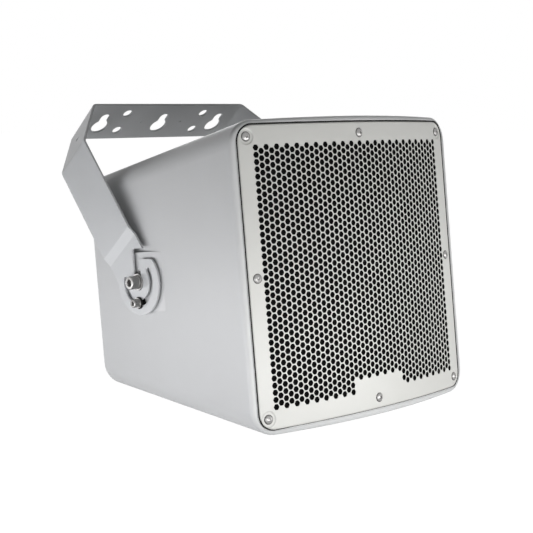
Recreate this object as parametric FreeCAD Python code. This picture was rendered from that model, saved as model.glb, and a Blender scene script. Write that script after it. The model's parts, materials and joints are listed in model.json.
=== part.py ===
import FreeCAD, Part
import math
import os

from FreeCAD import Rotation, Vector

# Outdoor patio loudspeaker: a tapered moulded cabinet held in a U-shaped steel bracket.
# Every piece is drawn in the cabinet's own frame, in millimetres: the grille faces -Y, +X is the
# right-hand side seen from the front, and the pivot axis lies at Z = 0.  The last step turns all
# pieces together, so that the cabinet rests on its flat underside with its front aimed upwards.

# Cabinet
cabinet_w = 366.0
cabinet_h = 349.8
cabinet_depth = 361.5
cabinet_corner_r = 30.0
front_bow_r = 757.0
taper = math.radians(6.6)
wall = 5.0
front_edge_r = 5.0
rear_edge_r = 20.0

# Grille recess in the front, and the ledge behind it
recess_w = 352.8
recess_h = 340.8
recess_corner_r = 21.0
ledge_w = 317.0
ledge_h = 301.0
ledge_corner_r = 8.0
ledge_t = 14.0

# Perforated grille: widths are measured along the bowed sheet
grille_t = 1.6
grille_gap = 1.4
grille_lip = 0.4
grille_gasket_t = 1.5
perforated_w = 313.0
perforated_h = 296.0
hole_pitch = 20.0
hole_flats = 16.4
bare_field_w = 100.0
bare_field_h = 22.0
mesh_t = 0.8
mesh_margin = 1.5

# Grille screws
grille_screw_r = 2.5
grille_screw_head_r = 5.0
grille_screw_head_h = 2.8
grille_screw_length = 14.0
grille_screw_corner_s = 163.5
grille_screw_corner_z = 156.5
screw_clearance = 0.3
thread_clearance = 0.05

# Baffle and the rim that it is screwed to
baffle_y = 48.0
baffle_t = 18.0
baffle_fit = 0.3
baffle_seat_w = 16.0
baffle_seat_t = 12.0
baffle_screw_r = 2.0
baffle_screw_head_r = 4.0
baffle_screw_head_h = 2.4

# Woofer
woofer_flange_r = 130.0
woofer_flange_t = 5.0
woofer_neck_r = 116.5
woofer_neck_fit = 0.7
woofer_wall = 4.0
woofer_neck_depth = 20.0
woofer_depth = 62.0
woofer_seat_r = 72.0
woofer_seat_t = 4.0
woofer_window_count = 6
woofer_window_angle = 38.0
woofer_screw_count = 8
woofer_screw_circle_r = 124.5
woofer_screw_r = 2.5
woofer_screw_head_r = 4.4
woofer_screw_head_h = 3.0
coil_r = 32.0
coil_t = 1.2
coil_length = 28.0
magnet_gap = 0.9
top_plate_r = 76.0
top_plate_t = 8.0
ferrite_r = 78.0
ferrite_bore_r = 45.0
ferrite_t = 18.0
back_plate_t = 10.0
throat_r = 13.0
surround_roll_r = 7.0
surround_t = 1.2
surround_land = 6.0
cone_t = 1.0
spider_t = 0.8
spider_waves = 4
horn_mouth_r = 52.0
horn_wall = 2.5
horn_length = 50.0
hf_driver_r = 46.0
hf_driver_t = 36.0
ring_gasket_t = 2.6

# Filter board on the rear wall
board_w = 150.0
board_h = 86.0
board_t = 1.6
board_z = 68.0
standoff_r = 4.0
standoff_h = 15.0
standoff_inset = 7.0
filter_coil_r = 20.0
filter_coil_bore_r = 9.0
filter_coil_h = 22.0
capacitor_r = 8.0
capacitor_l = 34.0
resistor_size = (24.0, 9.0, 9.0)
seat_gap = 0.3

# Line transformer on the floor of the cabinet
transformer_y = 262.0
core_w = 76.0
core_h = 54.0
core_t = 32.0
core_leg = 13.0
winding_margin = 1.0
strap_t = 1.5
strap_foot = 14.0

# Damping pads on the roof and the floor
pad_w = 200.0
pad_l = 110.0
pad_t = 20.0
pad_y = 92.0

# Rear input cover with cable gland
cover_w = 120.0
cover_h = 84.0
cover_t = 2.0
cover_corner_r = 8.0
cover_z = -66.0
cover_gasket_t = 1.0
cover_screw_inset = 8.0
cover_screw_r = 2.0
cover_screw_head_r = 4.0
cover_screw_head_h = 2.4
port_w = 88.0
port_h = 52.0
terminal_w = 46.0
terminal_h = 24.0
terminal_t = 16.0
gland_x = 30.0
gland_flats = 24.0
gland_base_t = 6.0
gland_nut_r = 11.5
gland_nut_l = 16.0
gland_bore_r = 4.5

# Pivot pads on the two sides
pivot_y = 228.0
side_pad_proud = 5.1
side_pad_h = 72.0
side_pad_rear = 34.0
insert_block_r = 15.0
insert_block_depth = 23.0

# Pivot bolt and lock bolt
pivot_bolt_r = 5.0
pivot_head_r = 8.0
pivot_head_h = 10.0
pivot_socket_flats = 8.0
pivot_insert_r = 7.5
pivot_insert_l = 20.0
pivot_washer_r = 10.5
pivot_washer_t = 1.6
pivot_spring_r = 8.6
pivot_spring_t = 2.2
spacer_r = 13.0
sleeve_r = 6.2
lock_bolt_r = 3.0
lock_head_r = 5.0
lock_head_h = 6.0
lock_socket_flats = 5.0
bolt_tip_gap = 1.0
lock_insert_r = 4.5
lock_insert_l = 14.0
lock_washer_r = 6.4
lock_washer_t = 1.2
lock_spring_r = 5.2
lock_spring_t = 1.4
rubber_washer_r = 7.4
rubber_washer_t = 2.4
lock_offset = 25.5
slide_gap = 0.1

# Bracket
strip_w = 68.6
strip_t = 3.0
bend_r = 6.0
bracket_angle = math.radians(55.5)
tab_gap = 2.0
tab_r = 41.0
joggle = 4.0
joggle_u = 54.0
joggle_run = 12.0
arm_length = 196.5
corner_w = 42.4
corner_h = 58.0
corner_hole_r = 3.5
pivot_slot_w = 13.0
pivot_slot_top = 41.0
mouth_h = 13.0
hook_tip_r = 9.0
arc_slot_w = 7.0
arc_slot_start = math.radians(147.0)
arc_slot_end = math.radians(367.0)
plate_hole_r = 6.5
plate_hole_x = 66.0
plate_hole_w = 17.0
keyhole_r = 12.0
keyhole_slot_r = 6.5
keyhole_pitch = 99.0
keyhole_low = -9.0
keyhole_high = 9.0
mark_r = 1.8
mark_depth = 1.0
mark_x = 34.0

# Worked-out values
front_corner_y = front_bow_r - math.sqrt(front_bow_r ** 2 - (cabinet_w / 2) ** 2)
recess_depth = grille_lip + grille_t + grille_gasket_t
side_pad_x = cabinet_w / 2 - (pivot_y - front_corner_y) * math.tan(taper) + side_pad_proud
ledge_back = recess_depth + ledge_t
rear_inner_y = cabinet_depth - wall
flange_y = baffle_y - woofer_flange_t
seat_y = flange_y + woofer_depth
top_plate_y = seat_y + woofer_seat_t
ferrite_y = top_plate_y + top_plate_t
back_plate_y = ferrite_y + ferrite_t
hf_driver_y = back_plate_y + back_plate_t
tab_x = side_pad_x + tab_gap
tab_outer_x = tab_x + strip_t
arm_x = tab_x + joggle
arc_slot_r = lock_offset


def narrowing(y):
    """How much each side has moved inwards at depth y, because of the taper."""
    return (y - front_corner_y) * math.tan(taper)


def half_width(y):
    """Half the cabinet's outer width at depth y."""
    return cabinet_w / 2 - narrowing(y)


def half_height(y):
    """Half the cabinet's outer height at depth y."""
    return cabinet_h / 2 - narrowing(y)


def front_plane(y):
    """Map (x, z) to a point of the plane at depth y."""
    return lambda p: Vector(p[0], y, p[1])


def side_plane(x):
    """Map (y, z) to a point of the plane at that x."""
    return lambda p: Vector(x, p[0], p[1])


def rounded_polygon(points, radii, place):
    """Closed wire through 2-D points, each corner rounded by its own radius (0 keeps it sharp)."""
    edges = []
    starts = []
    ends = []
    middles = []
    count = len(points)
    for i in range(count):
        here = Vector(points[i][0], points[i][1], 0)
        before = Vector(points[i - 1][0], points[i - 1][1], 0).sub(here).normalize()
        after = Vector(points[(i + 1) % count][0], points[(i + 1) % count][1], 0).sub(here).normalize()
        half = before.getAngle(after) / 2
        reach = radii[i] / math.tan(half)
        bisector = before.add(after).normalize()
        starts.append(here + before * reach)
        ends.append(here + after * reach)
        middles.append(here + bisector * (radii[i] / math.sin(half) - radii[i]))
    for i in range(count):
        if radii[i] > 0:
            arc_points = [place((p.x, p.y)) for p in (starts[i], middles[i], ends[i])]
            edges.append(Part.Arc(*arc_points).toShape())
        following = starts[(i + 1) % count]
        if ends[i].distanceToPoint(following) > 1e-6:
            line_ends = [place((p.x, p.y)) for p in (ends[i], following)]
            edges.append(Part.LineSegment(*line_ends).toShape())
    return Part.Wire(edges)


def rounded_rectangle(half_w, half_h, radius, place, centre=(0, 0)):
    """Closed wire of a rectangle with four equal rounded corners."""
    cx, cy = centre
    corners = [(cx - half_w, cy - half_h), (cx + half_w, cy - half_h),
               (cx + half_w, cy + half_h), (cx - half_w, cy + half_h)]
    return rounded_polygon(corners, [radius] * 4, place)


def plate_on_y(half_w, half_h, radius, y, thickness, centre=(0, 0)):
    """Flat rounded plate, its front face at depth y."""
    face = Part.Face(rounded_rectangle(half_w, half_h, radius, front_plane(y), centre))
    return face.extrude(Vector(0, thickness, 0))


def rod(start, direction, radius, length):
    """Solid cylinder from a point along a direction."""
    return Part.makeCylinder(radius, length, start, direction)


def ring(start, direction, inner_r, outer_r, length):
    """Hollow cylinder from a point along a direction."""
    return rod(start, direction, outer_r, length).cut(rod(start, direction, inner_r, length))


def revolved(profile, x=0.0, z=0.0):
    """Solid of revolution about the line parallel to Y through (x, z); profile holds (radius, y)."""
    points = [Vector(x + r, y, z) for r, y in profile]
    face = Part.Face(Part.makePolygon(points + [points[0]]))
    return face.revolve(Vector(x, 0, z), Vector(0, 1, 0), 360)


def hexagon_prism(start, direction, flats, length, turn=0.0):
    """Six-sided prism from a point along a direction, given its size across flats."""
    radius = flats / math.sqrt(3)
    angles = [turn + math.radians(60 * i) for i in range(6)]
    points = [Vector(radius * math.cos(a), radius * math.sin(a), 0) for a in angles]
    prism = Part.Face(Part.makePolygon(points + [points[0]])).extrude(Vector(0, 0, length))
    prism.Placement = FreeCAD.Placement(start, Rotation(Vector(0, 0, 1), direction))
    return prism


def mirrored_pair(shape):
    """The shape and its mirror image on the other side of the cabinet."""
    return [shape, shape.mirror(Vector(0, 0, 0), Vector(1, 0, 0))]


def together(shapes):
    """Group of separate solids in one piece."""
    return Part.makeCompound(shapes)


# Bowed front

def front_cylinder(depth):
    """Everything that lies deeper than the bowed front by the given depth."""
    radius = front_bow_r - depth
    return Part.makeCylinder(radius, 2 * cabinet_h, Vector(0, front_bow_r, -cabinet_h), Vector(0, 0, 1))


def front_point(s, z, depth=0.0):
    """Point at arc length s and height z, the given depth behind the bowed front."""
    angle = s / front_bow_r
    radius = front_bow_r - depth
    return Vector(radius * math.sin(angle), front_bow_r - radius * math.cos(angle), z)


def front_inward(s):
    """Unit vector into the cabinet, square to the bowed front at arc length s."""
    angle = s / front_bow_r
    return Vector(-math.sin(angle), math.cos(angle), 0)


def bowed_panel(width, height, corner_r, depth, thickness):
    """Rounded panel that follows the bowed front; its front lies at the given depth."""
    outline = Part.Face(rounded_rectangle(width / 2, height / 2, corner_r, front_plane(-10)))
    prism = outline.extrude(Vector(0, cabinet_depth / 2, 0))
    return prism.common(front_cylinder(depth)).cut(front_cylinder(depth + thickness))


def grille_screw_places():
    """Arc length and height of the eight grille screws."""
    places = []
    for i in (-1, 0, 1):
        for j in (-1, 0, 1):
            if i or j:
                places.append((i * grille_screw_corner_s, j * grille_screw_corner_z))
    return places


def grille_rods(radius, depth, length):
    """A rod at each grille screw, square to the front."""
    rods = []
    for s, z in grille_screw_places():
        rods.append(rod(front_point(s, z, depth), front_inward(s), radius, length))
    return rods


def grille_holes():
    """Hexagonal punch at each place of the staggered pattern, apart from the bare field."""
    punches = []
    column_pitch = hole_pitch * math.sqrt(3) / 2
    hole_points = hole_flats / math.sqrt(3)
    columns = int((perforated_w / 2 - hole_points) / column_pitch)
    for column in range(-columns, columns + 1):
        s = column * column_pitch
        shift = 0.0 if column % 2 == 0 else hole_pitch / 2
        rows = int((perforated_h / 2 - hole_flats / 2 - shift) / hole_pitch)
        for row in range(-rows - (1 if shift else 0), rows + 1):
            z = row * hole_pitch + shift
            bare = abs(s) < bare_field_w / 2 and z < bare_field_h - perforated_h / 2
            if not bare:
                start = front_point(s, z, -1.0)
                punch = hexagon_prism(Vector(0, 0, 0), Vector(0, 0, 1), hole_flats, 3 * grille_t)
                along = Vector(math.cos(s / front_bow_r), math.sin(s / front_bow_r), 0)
                turn = Rotation(along, Vector(0, 0, 1), front_inward(s), "ZXY")
                punch.Placement = FreeCAD.Placement(start, turn)
                punches.append(punch)
    return punches


def make_grille():
    """Bowed perforated sheet with clearance holes for its screws."""
    sheet = bowed_panel(recess_w - 2 * grille_gap, recess_h - 2 * grille_gap,
                        recess_corner_r - grille_gap, grille_lip, grille_t)
    screws = grille_rods(grille_screw_r + screw_clearance, -1.0, 3 * grille_t)
    return sheet.cut(together(grille_holes() + screws))


def make_grille_gasket():
    """Rubber frame between the grille and the ledge."""
    depth = grille_lip + grille_t
    outer = bowed_panel(recess_w - 2 * grille_gap, recess_h - 2 * grille_gap,
                        recess_corner_r - grille_gap, depth, grille_gasket_t)
    window = Part.Face(rounded_rectangle(ledge_w / 2, ledge_h / 2, ledge_corner_r, front_plane(-10)))
    screws = grille_rods(grille_screw_r + screw_clearance, depth - 1, grille_gasket_t + 2)
    return outer.cut(window.extrude(Vector(0, baffle_y, 0))).cut(together(screws))


def make_weather_mesh():
    """Fine woven mesh laid against the back of the grille, inside the gasket."""
    return bowed_panel(ledge_w - 2 * mesh_margin, ledge_h - 2 * mesh_margin,
                       ledge_corner_r - mesh_margin, grille_lip + grille_t, mesh_t)


def make_grille_screws():
    """Eight button-head screws with hexagonal sockets."""
    screws = []
    for s, z in grille_screw_places():
        inward = front_inward(s)
        seat = front_point(s, z, grille_lip)
        top = seat - inward * grille_screw_head_h
        head = Part.makeCone(grille_screw_head_r * 0.62, grille_screw_head_r,
                             grille_screw_head_h, top, inward)
        shank = rod(seat, inward, grille_screw_r, grille_screw_length)
        socket = hexagon_prism(top, inward, grille_screw_r * 1.2, grille_screw_head_h * 0.6)
        screws.append(head.fuse(shank).cut(socket))
    return together(screws)


# Cabinet shell and baffle

def tapered_block(y_front, y_back, inset):
    """Rounded block between two depths that follows the cabinet's taper, inset from its outside."""
    ends = []
    for y in (y_front, y_back):
        x = half_width(y) - inset
        z = half_height(y) - inset
        ends.append([Vector(-x, y, -z), Vector(x, y, -z), Vector(x, y, z), Vector(-x, y, z)])
    front, back = ends
    outlines = [front, back]
    for i in range(4):
        j = (i + 1) % 4
        outlines.append([front[i], front[j], back[j], back[i]])
    faces = [Part.Face(Part.makePolygon(points + points[:1])) for points in outlines]
    block = Part.makeSolid(Part.makeShell(faces))
    long_edges = [e for e in block.Edges if e.BoundBox.YLength > y_back - y_front - 0.01]
    return block.makeFillet(cabinet_corner_r - inset, long_edges)


def edges_at_back(shape, y):
    """Edges that lie in the plane at depth y."""
    return [e for e in shape.Edges if e.BoundBox.YMin > y - 0.01]


def edges_of_bow(shape, radius):
    """Edges of the face that has the front's bow."""
    for face in shape.Faces:
        if isinstance(face.Surface, Part.Cylinder) and abs(face.Surface.Radius - radius) < 0.01:
            return face.Edges
    return []


def side_pad():
    """Raised flat pad on the right-hand side, square to the pivot axis."""
    half_h = side_pad_h / 2
    rear = pivot_y + side_pad_rear
    fore = front_corner_y + wall
    corners = [(fore, -half_h), (rear, -half_h), (rear, half_h), (fore, half_h)]
    outline = rounded_polygon(corners, [0, side_pad_rear, side_pad_rear, 0], side_plane(side_pad_x))
    depth = side_pad_x - half_width(rear) + wall
    return Part.Face(outline).extrude(Vector(-depth, 0, 0))


def insert_block():
    """Solid block inside the right-hand wall that holds both threaded inserts."""
    inner_x = side_pad_x - insert_block_depth
    corners = [(pivot_y - insert_block_r, insert_block_r), (pivot_y + insert_block_r, insert_block_r),
               (pivot_y + insert_block_r, -lock_offset - insert_block_r),
               (pivot_y - insert_block_r, -lock_offset - insert_block_r)]
    outline = rounded_polygon(corners, [insert_block_r * 0.98] * 4, side_plane(inner_x))
    return Part.Face(outline).extrude(Vector(insert_block_depth - wall / 2, 0, 0))


def cover_screw_places():
    """X and Z of the six screws of the rear cover."""
    places = []
    for i in (-1, 0, 1):
        for j in (-1, 1):
            across = i * (cover_w / 2 - cover_screw_inset)
            up = j * (cover_h / 2 - cover_screw_inset)
            places.append((across, cover_z + up))
    return places


def baffle_screw_places():
    """X and Z of the eight screws at the edge of the baffle."""
    inset = wall + baffle_seat_w / 2
    across = half_width(baffle_y + baffle_t) - inset
    up = half_height(baffle_y + baffle_t) - inset
    return [(i * across, j * up) for i in (-0.8, 0.8) for j in (-1, 1)] + \
           [(i * across, j * up) for i in (-1, 1) for j in (-0.8, 0.8)]


def make_cabinet():
    """Moulded shell: tapered, open at the front, with grille ledge, baffle seat and pivot pads."""
    body = tapered_block(-5, cabinet_depth, 0).common(front_cylinder(0))
    body = body.makeFillet(rear_edge_r, edges_at_back(body, cabinet_depth))
    body = body.makeFillet(front_edge_r, edges_of_bow(body, front_bow_r))
    for pad in mirrored_pair(side_pad()):
        body = body.fuse(pad)

    cavity = tapered_block(0, rear_inner_y, wall)
    cavity = cavity.makeFillet(rear_edge_r - wall, edges_at_back(cavity, rear_inner_y))
    cavity = cavity.common(front_cylinder(ledge_back))
    seat_y0 = baffle_y + baffle_t
    seat = tapered_block(seat_y0, seat_y0 + baffle_seat_t, wall - 1)
    seat = seat.cut(tapered_block(seat_y0 - 1, seat_y0 + baffle_seat_t + 1, wall + baffle_seat_w))
    cavity = cavity.cut(seat)
    for block in mirrored_pair(insert_block()):
        cavity = cavity.cut(block)

    window = Part.Face(rounded_rectangle(ledge_w / 2, ledge_h / 2, ledge_corner_r, front_plane(-10)))
    recess = bowed_panel(recess_w, recess_h, recess_corner_r, -2, recess_depth + 2)
    port = plate_on_y(port_w / 2, port_h / 2, cover_corner_r, rear_inner_y - 1, wall + 2, (0, cover_z))
    tools = [window.extrude(Vector(0, baffle_y, 0)), recess, port]
    tools += grille_rods(grille_screw_r + thread_clearance, recess_depth - 1, ledge_t + 2)
    pivot_hole = rod(Vector(side_pad_x + 1, pivot_y, 0), Vector(-1, 0, 0),
                     pivot_insert_r + thread_clearance, pivot_insert_l + 1)
    lock_hole = rod(Vector(side_pad_x + 1, pivot_y, -lock_offset), Vector(-1, 0, 0),
                    lock_insert_r + thread_clearance, lock_insert_l + 1)
    tools += mirrored_pair(pivot_hole) + mirrored_pair(lock_hole)
    for x, z in baffle_screw_places():
        tools.append(rod(Vector(x, seat_y0 - 1, z), Vector(0, 1, 0),
                         baffle_screw_r + thread_clearance, baffle_seat_t + 1))
    for x, z in cover_screw_places():
        tools.append(rod(Vector(x, rear_inner_y - 1, z), Vector(0, 1, 0),
                         cover_screw_r + thread_clearance, wall + 2))
    shell = body.cut(cavity)
    for tool in tools:
        shell = shell.cut(tool)
    return shell


def make_baffle():
    """Flat board that carries the woofer."""
    board = tapered_block(baffle_y, baffle_y + baffle_t, wall + baffle_fit)
    tools = [rod(Vector(0, baffle_y - 1, 0), Vector(0, 1, 0), woofer_neck_r + woofer_neck_fit, baffle_t + 2)]
    for x, z in baffle_screw_places():
        tools.append(rod(Vector(x, baffle_y - 1, z), Vector(0, 1, 0),
                         baffle_screw_r + screw_clearance, baffle_t + 2))
    for x, z in woofer_screw_places():
        tools.append(rod(Vector(x, baffle_y - 1, z), Vector(0, 1, 0),
                         woofer_screw_r + thread_clearance, baffle_t + 2))
    for tool in tools:
        board = board.cut(tool)
    return board


def flat_screws(places, seat_y_value, radius, head_r, head_h, length, towards=1):
    """Pan-head screws along Y; towards is +1 when they point to the rear, -1 to the front."""
    screws = []
    for x, z in places:
        seat = Vector(x, seat_y_value, z)
        along = Vector(0, towards, 0)
        head = Part.makeCone(head_r * 0.7, head_r, head_h, seat - along * head_h, along)
        shank = rod(seat, along, radius, length)
        screws.append(head.fuse(shank))
    return together(screws)


def make_baffle_screws():
    """Screws that hold the baffle to its seat."""
    return flat_screws(baffle_screw_places(), baffle_y, baffle_screw_r, baffle_screw_head_r,
                       baffle_screw_head_h, baffle_t + baffle_seat_t - 2)


# Woofer and its coaxial horn

def woofer_screw_places():
    """X and Z of the screws round the woofer's flange."""
    places = []
    for i in range(woofer_screw_count):
        angle = 2 * math.pi * (i + 0.5) / woofer_screw_count
        places.append((woofer_screw_circle_r * math.cos(angle), woofer_screw_circle_r * math.sin(angle)))
    return places


def make_basket():
    """Cast frame: flange, neck, open conical cage and magnet seat."""
    neck_in = woofer_neck_r - woofer_wall
    seat_in = coil_r + surround_land
    knee = flange_y + woofer_neck_depth
    profile = [(woofer_flange_r, flange_y), (woofer_flange_r, baffle_y), (woofer_neck_r, baffle_y),
               (woofer_neck_r, knee), (woofer_seat_r, seat_y), (woofer_seat_r, top_plate_y),
               (seat_in, top_plate_y), (seat_in, seat_y), (woofer_seat_r - woofer_wall, seat_y),
               (neck_in, knee - woofer_wall / 2), (neck_in, flange_y)]
    basket = revolved(profile)
    tools = []
    window = Part.makeCylinder(woofer_neck_r + 10, seat_y - knee - 6, Vector(0, knee + 2, 0),
                               Vector(0, 1, 0), woofer_window_angle)
    window = window.cut(rod(Vector(0, knee, 0), Vector(0, 1, 0), woofer_seat_r - 20, woofer_depth))
    for i in range(woofer_window_count):
        tools.append(window.rotated(Vector(0, 0, 0), Vector(0, 1, 0), 360.0 * i / woofer_window_count))
    for x, z in woofer_screw_places():
        tools.append(rod(Vector(x, flange_y - 1, z), Vector(0, 1, 0),
                         woofer_screw_r + screw_clearance, woofer_flange_t + 2))
    for tool in tools:
        basket = basket.cut(tool)
    return basket


def make_woofer_screws():
    """Screws through the flange into the baffle."""
    return flat_screws(woofer_screw_places(), flange_y, woofer_screw_r, woofer_screw_head_r,
                       woofer_screw_head_h, woofer_flange_t + baffle_t - 3)


def roll_profile(inner_r, outer_r, land_in, land_out, y, thickness):
    """Half-roll section with a flat land on each side; the roll bulges to the front."""
    centre = (inner_r + outer_r) / 2
    radius = (outer_r - inner_r) / 2
    edges = []

    def point(r, depth):
        return Vector(r, depth, 0)

    def arc(rad, y_value, flip):
        ends = [point(centre - rad, y_value), point(centre, y_value - rad), point(centre + rad, y_value)]
        return Part.Arc(*(ends[::-1] if flip else ends)).toShape()

    top = y
    low = y + thickness
    edges.append(Part.LineSegment(point(inner_r - land_in, top), point(inner_r, top)).toShape())
    edges.append(arc(radius, top, False))
    edges.append(Part.LineSegment(point(outer_r, top), point(outer_r + land_out, top)).toShape())
    edges.append(Part.LineSegment(point(outer_r + land_out, top), point(outer_r + land_out, low)).toShape())
    edges.append(Part.LineSegment(point(outer_r + land_out, low), point(outer_r - thickness, low)).toShape())
    edges.append(arc(radius - thickness, low, True))
    edges.append(Part.LineSegment(point(inner_r + thickness, low), point(inner_r - land_in, low)).toShape())
    edges.append(Part.LineSegment(point(inner_r - land_in, low), point(inner_r - land_in, top)).toShape())
    return Part.Face(Part.Wire(edges))


def make_surround():
    """Rubber half-roll between the cone and the flange."""
    outer_r = woofer_neck_r - woofer_wall
    face = roll_profile(outer_r - 2 * surround_roll_r, outer_r, surround_land, surround_land,
                        flange_y - surround_t, surround_t)
    return face.revolve(Vector(0, 0, 0), Vector(0, 1, 0), 360)


def cone_rim_r():
    """Outer radius of the cone, at the inner edge of the roll."""
    return woofer_neck_r - woofer_wall - 2 * surround_roll_r


def make_cone():
    """Thin conical diaphragm from the roll down to the voice coil."""
    rim = cone_rim_r()
    neck = coil_r + coil_t / 2 + 0.1
    y_rim = flange_y
    y_neck = seat_y - 8
    profile = [(rim, y_rim), (rim, y_rim + cone_t), (rim - surround_land + cone_t, y_rim + cone_t),
               (neck, y_neck + cone_t), (neck, y_neck), (rim - surround_land, y_rim)]
    return revolved(profile)


def make_coil():
    """Voice coil on its former, free in the magnet's gap."""
    start = Vector(0, seat_y - 9, 0)
    return ring(start, Vector(0, 1, 0), coil_r - coil_t / 2, coil_r + coil_t / 2, coil_length)


def make_spider():
    """Corrugated disc that centres the voice coil."""
    inner = coil_r + coil_t / 2 + 0.1
    outer = woofer_seat_r - woofer_wall - 2
    step = (outer - surround_land - inner) / (2 * spider_waves)
    y_foot = seat_y - spider_t
    upper = []
    for i in range(2 * spider_waves + 1):
        upper.append((inner + i * step, y_foot - (3.0 if i % 2 else 1.0)))
    upper[-1] = (outer - surround_land, y_foot)
    upper.append((outer, y_foot))
    lower = [(r, y + spider_t) for r, y in reversed(upper)]
    return revolved(upper + lower)


def make_top_plate():
    """Front pole plate of the magnet."""
    start = Vector(0, top_plate_y, 0)
    return ring(start, Vector(0, 1, 0), coil_r + coil_t / 2 + magnet_gap, top_plate_r, top_plate_t)


def make_ferrite():
    """Ring magnet."""
    return ring(Vector(0, ferrite_y, 0), Vector(0, 1, 0), ferrite_bore_r, ferrite_r, ferrite_t)


def make_pole():
    """Back plate and pole piece in one, bored as the throat of the high-frequency horn."""
    pole_r = coil_r - coil_t / 2 - magnet_gap
    front = top_plate_y - 2
    profile = [(throat_r, front), (pole_r, front), (pole_r, back_plate_y), (top_plate_r, back_plate_y),
               (top_plate_r, hf_driver_y), (throat_r, hf_driver_y)]
    return revolved(profile)


def make_horn():
    """High-frequency horn inside the cone; its wall follows a curve that opens to the mouth."""
    end_y = top_plate_y - 2
    start_y = end_y - horn_length
    steps = 6
    inner = []
    outer = []
    for i in range(steps + 1):
        share = i / steps
        y = end_y - share * horn_length
        radius = throat_r + (horn_mouth_r - throat_r) * share ** 1.6
        inner.append((radius, y))
        outer.append((radius + horn_wall, y))
    outer[-1] = (horn_mouth_r + 2 * horn_wall, start_y)
    outer.insert(-1, (horn_mouth_r + 2 * horn_wall, start_y + horn_wall))
    return revolved(inner + outer[::-1])


def make_hf_driver():
    """Compression driver on the back of the magnet."""
    y0 = hf_driver_y
    profile = [(0, y0), (hf_driver_r + 4, y0), (hf_driver_r + 4, y0 + 5), (hf_driver_r, y0 + 5),
               (hf_driver_r, y0 + hf_driver_t - 6), (hf_driver_r - 8, y0 + hf_driver_t),
               (0, y0 + hf_driver_t)]
    return revolved(profile)


def make_ring_gasket():
    """Foam ring that clamps the outer land of the roll."""
    inner = woofer_neck_r - woofer_wall + 0.5
    outer = inner - 0.5 + surround_land
    start = Vector(0, flange_y - surround_t - ring_gasket_t, 0)
    return ring(start, Vector(0, 1, 0), inner, outer, ring_gasket_t)


# Filter board

def board_front():
    """Depth of the board's component side."""
    return rear_inner_y - standoff_h - board_t


def standoff_places():
    """X and Z of the board's four standoffs."""
    across = board_w / 2 - standoff_inset
    up = board_h / 2 - standoff_inset
    return [(i * across, board_z + j * up) for i in (-1, 1) for j in (-1, 1)]


def make_board():
    """Filter board."""
    board = plate_on_y(board_w / 2, board_h / 2, 3, board_front(), board_t, (0, board_z))
    return board


def make_standoffs():
    """Pillars between the board and the rear wall."""
    pillars = []
    for x, z in standoff_places():
        start = Vector(x, board_front() + board_t, z)
        pillars.append(rod(start, Vector(0, 1, 0), standoff_r, standoff_h))
    return together(pillars)


def make_filter_coils():
    """Three wound coils that lie on the board."""
    coils = []
    spread = board_w / 2 - filter_coil_r - standoff_inset * 2
    for x in (-spread, 0, spread):
        start = Vector(x, board_front() - filter_coil_h, board_z + filter_coil_r)
        coils.append(ring(start, Vector(0, 1, 0), filter_coil_bore_r, filter_coil_r, filter_coil_h))
    return together(coils)


def make_capacitors():
    """Three film capacitors in a row."""
    bodies = []
    spread = board_w / 2 - capacitor_l / 2 - standoff_inset * 2
    for x in (-spread, 0, spread):
        start = Vector(x - capacitor_l / 2, board_front() - capacitor_r - seat_gap,
                       board_z - 2 * capacitor_r + 3)
        bodies.append(rod(start, Vector(1, 0, 0), capacitor_r, capacitor_l))
    return together(bodies)


def make_resistors():
    """Three power resistors along the lower edge of the board."""
    bodies = []
    length, depth, height = resistor_size
    spread = board_w / 2 - length / 2 - standoff_inset * 2
    for x in (-spread, 0, spread):
        corner = Vector(x - length / 2, board_front() - depth, board_z - board_h / 2 + 5)
        bodies.append(Part.makeBox(length, depth, height, corner))
    return together(bodies)


# Line transformer, drawn on a level floor and then laid on the tapered one

def on_floor(shape, y):
    """Lay a shape drawn on the plane Z = 0 on the cabinet's floor at depth y."""
    turned = shape.rotated(Vector(0, 0, 0), Vector(1, 0, 0), math.degrees(taper))
    height = -half_height(y) + wall / math.cos(taper)
    return turned.translated(Vector(0, y, height))


def core_block(width, height, thickness, low):
    """Box centred on the Z axis."""
    corner = Vector(-width / 2, -thickness / 2, low)
    return Part.makeBox(width, thickness, height, corner)


def transformer_window(side):
    """Opening of the core on one side of its middle leg."""
    leg = core_leg
    width = (core_w - 4 * leg) / 2
    centre = side * (leg + width / 2)
    corner = Vector(centre - width / 2, -core_t, strap_t + leg)
    return Part.makeBox(width, 2 * core_t, core_h - 2 * leg, corner)


def make_core():
    """Laminated core with two windows."""
    core = core_block(core_w, core_h, core_t, strap_t)
    for side in (-1, 1):
        core = core.cut(transformer_window(side))
    return on_floor(core, transformer_y)


def make_winding():
    """Coil wound round the middle leg."""
    leg = core_leg
    window = (core_w - 4 * leg) / 2
    reach = window - winding_margin
    height = core_h - 2 * leg - 2 * winding_margin
    low = strap_t + leg + winding_margin
    outer = core_block(2 * (leg + reach), height, core_t + 2 * reach, low)
    inner = core_block(2 * leg + seat_gap * 2, height, core_t + seat_gap * 2, low)
    return on_floor(outer.cut(inner), transformer_y)


def make_strap():
    """Steel strap that holds the core down, with a foot on each side."""
    outer = core_block(core_w + 2 * strap_t, core_h + 2 * strap_t, core_t * 0.6, 0)
    inner = core_block(core_w, core_h, core_t, strap_t)
    feet = core_block(core_w + 2 * strap_foot, strap_t, core_t * 0.6, 0)
    strap = outer.cut(inner).fuse(feet)
    return on_floor(strap, transformer_y)


# Damping pads

def make_damping():
    """Soft pads against the roof and the floor."""
    low = Part.makeBox(pad_w, pad_l, pad_t, Vector(-pad_w / 2, 0, seat_gap))
    floor_pad = on_floor(low, pad_y)
    roof_pad = floor_pad.mirror(Vector(0, 0, 0), Vector(0, 0, 1))
    return together([floor_pad, roof_pad])


# Rear input cover

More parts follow.
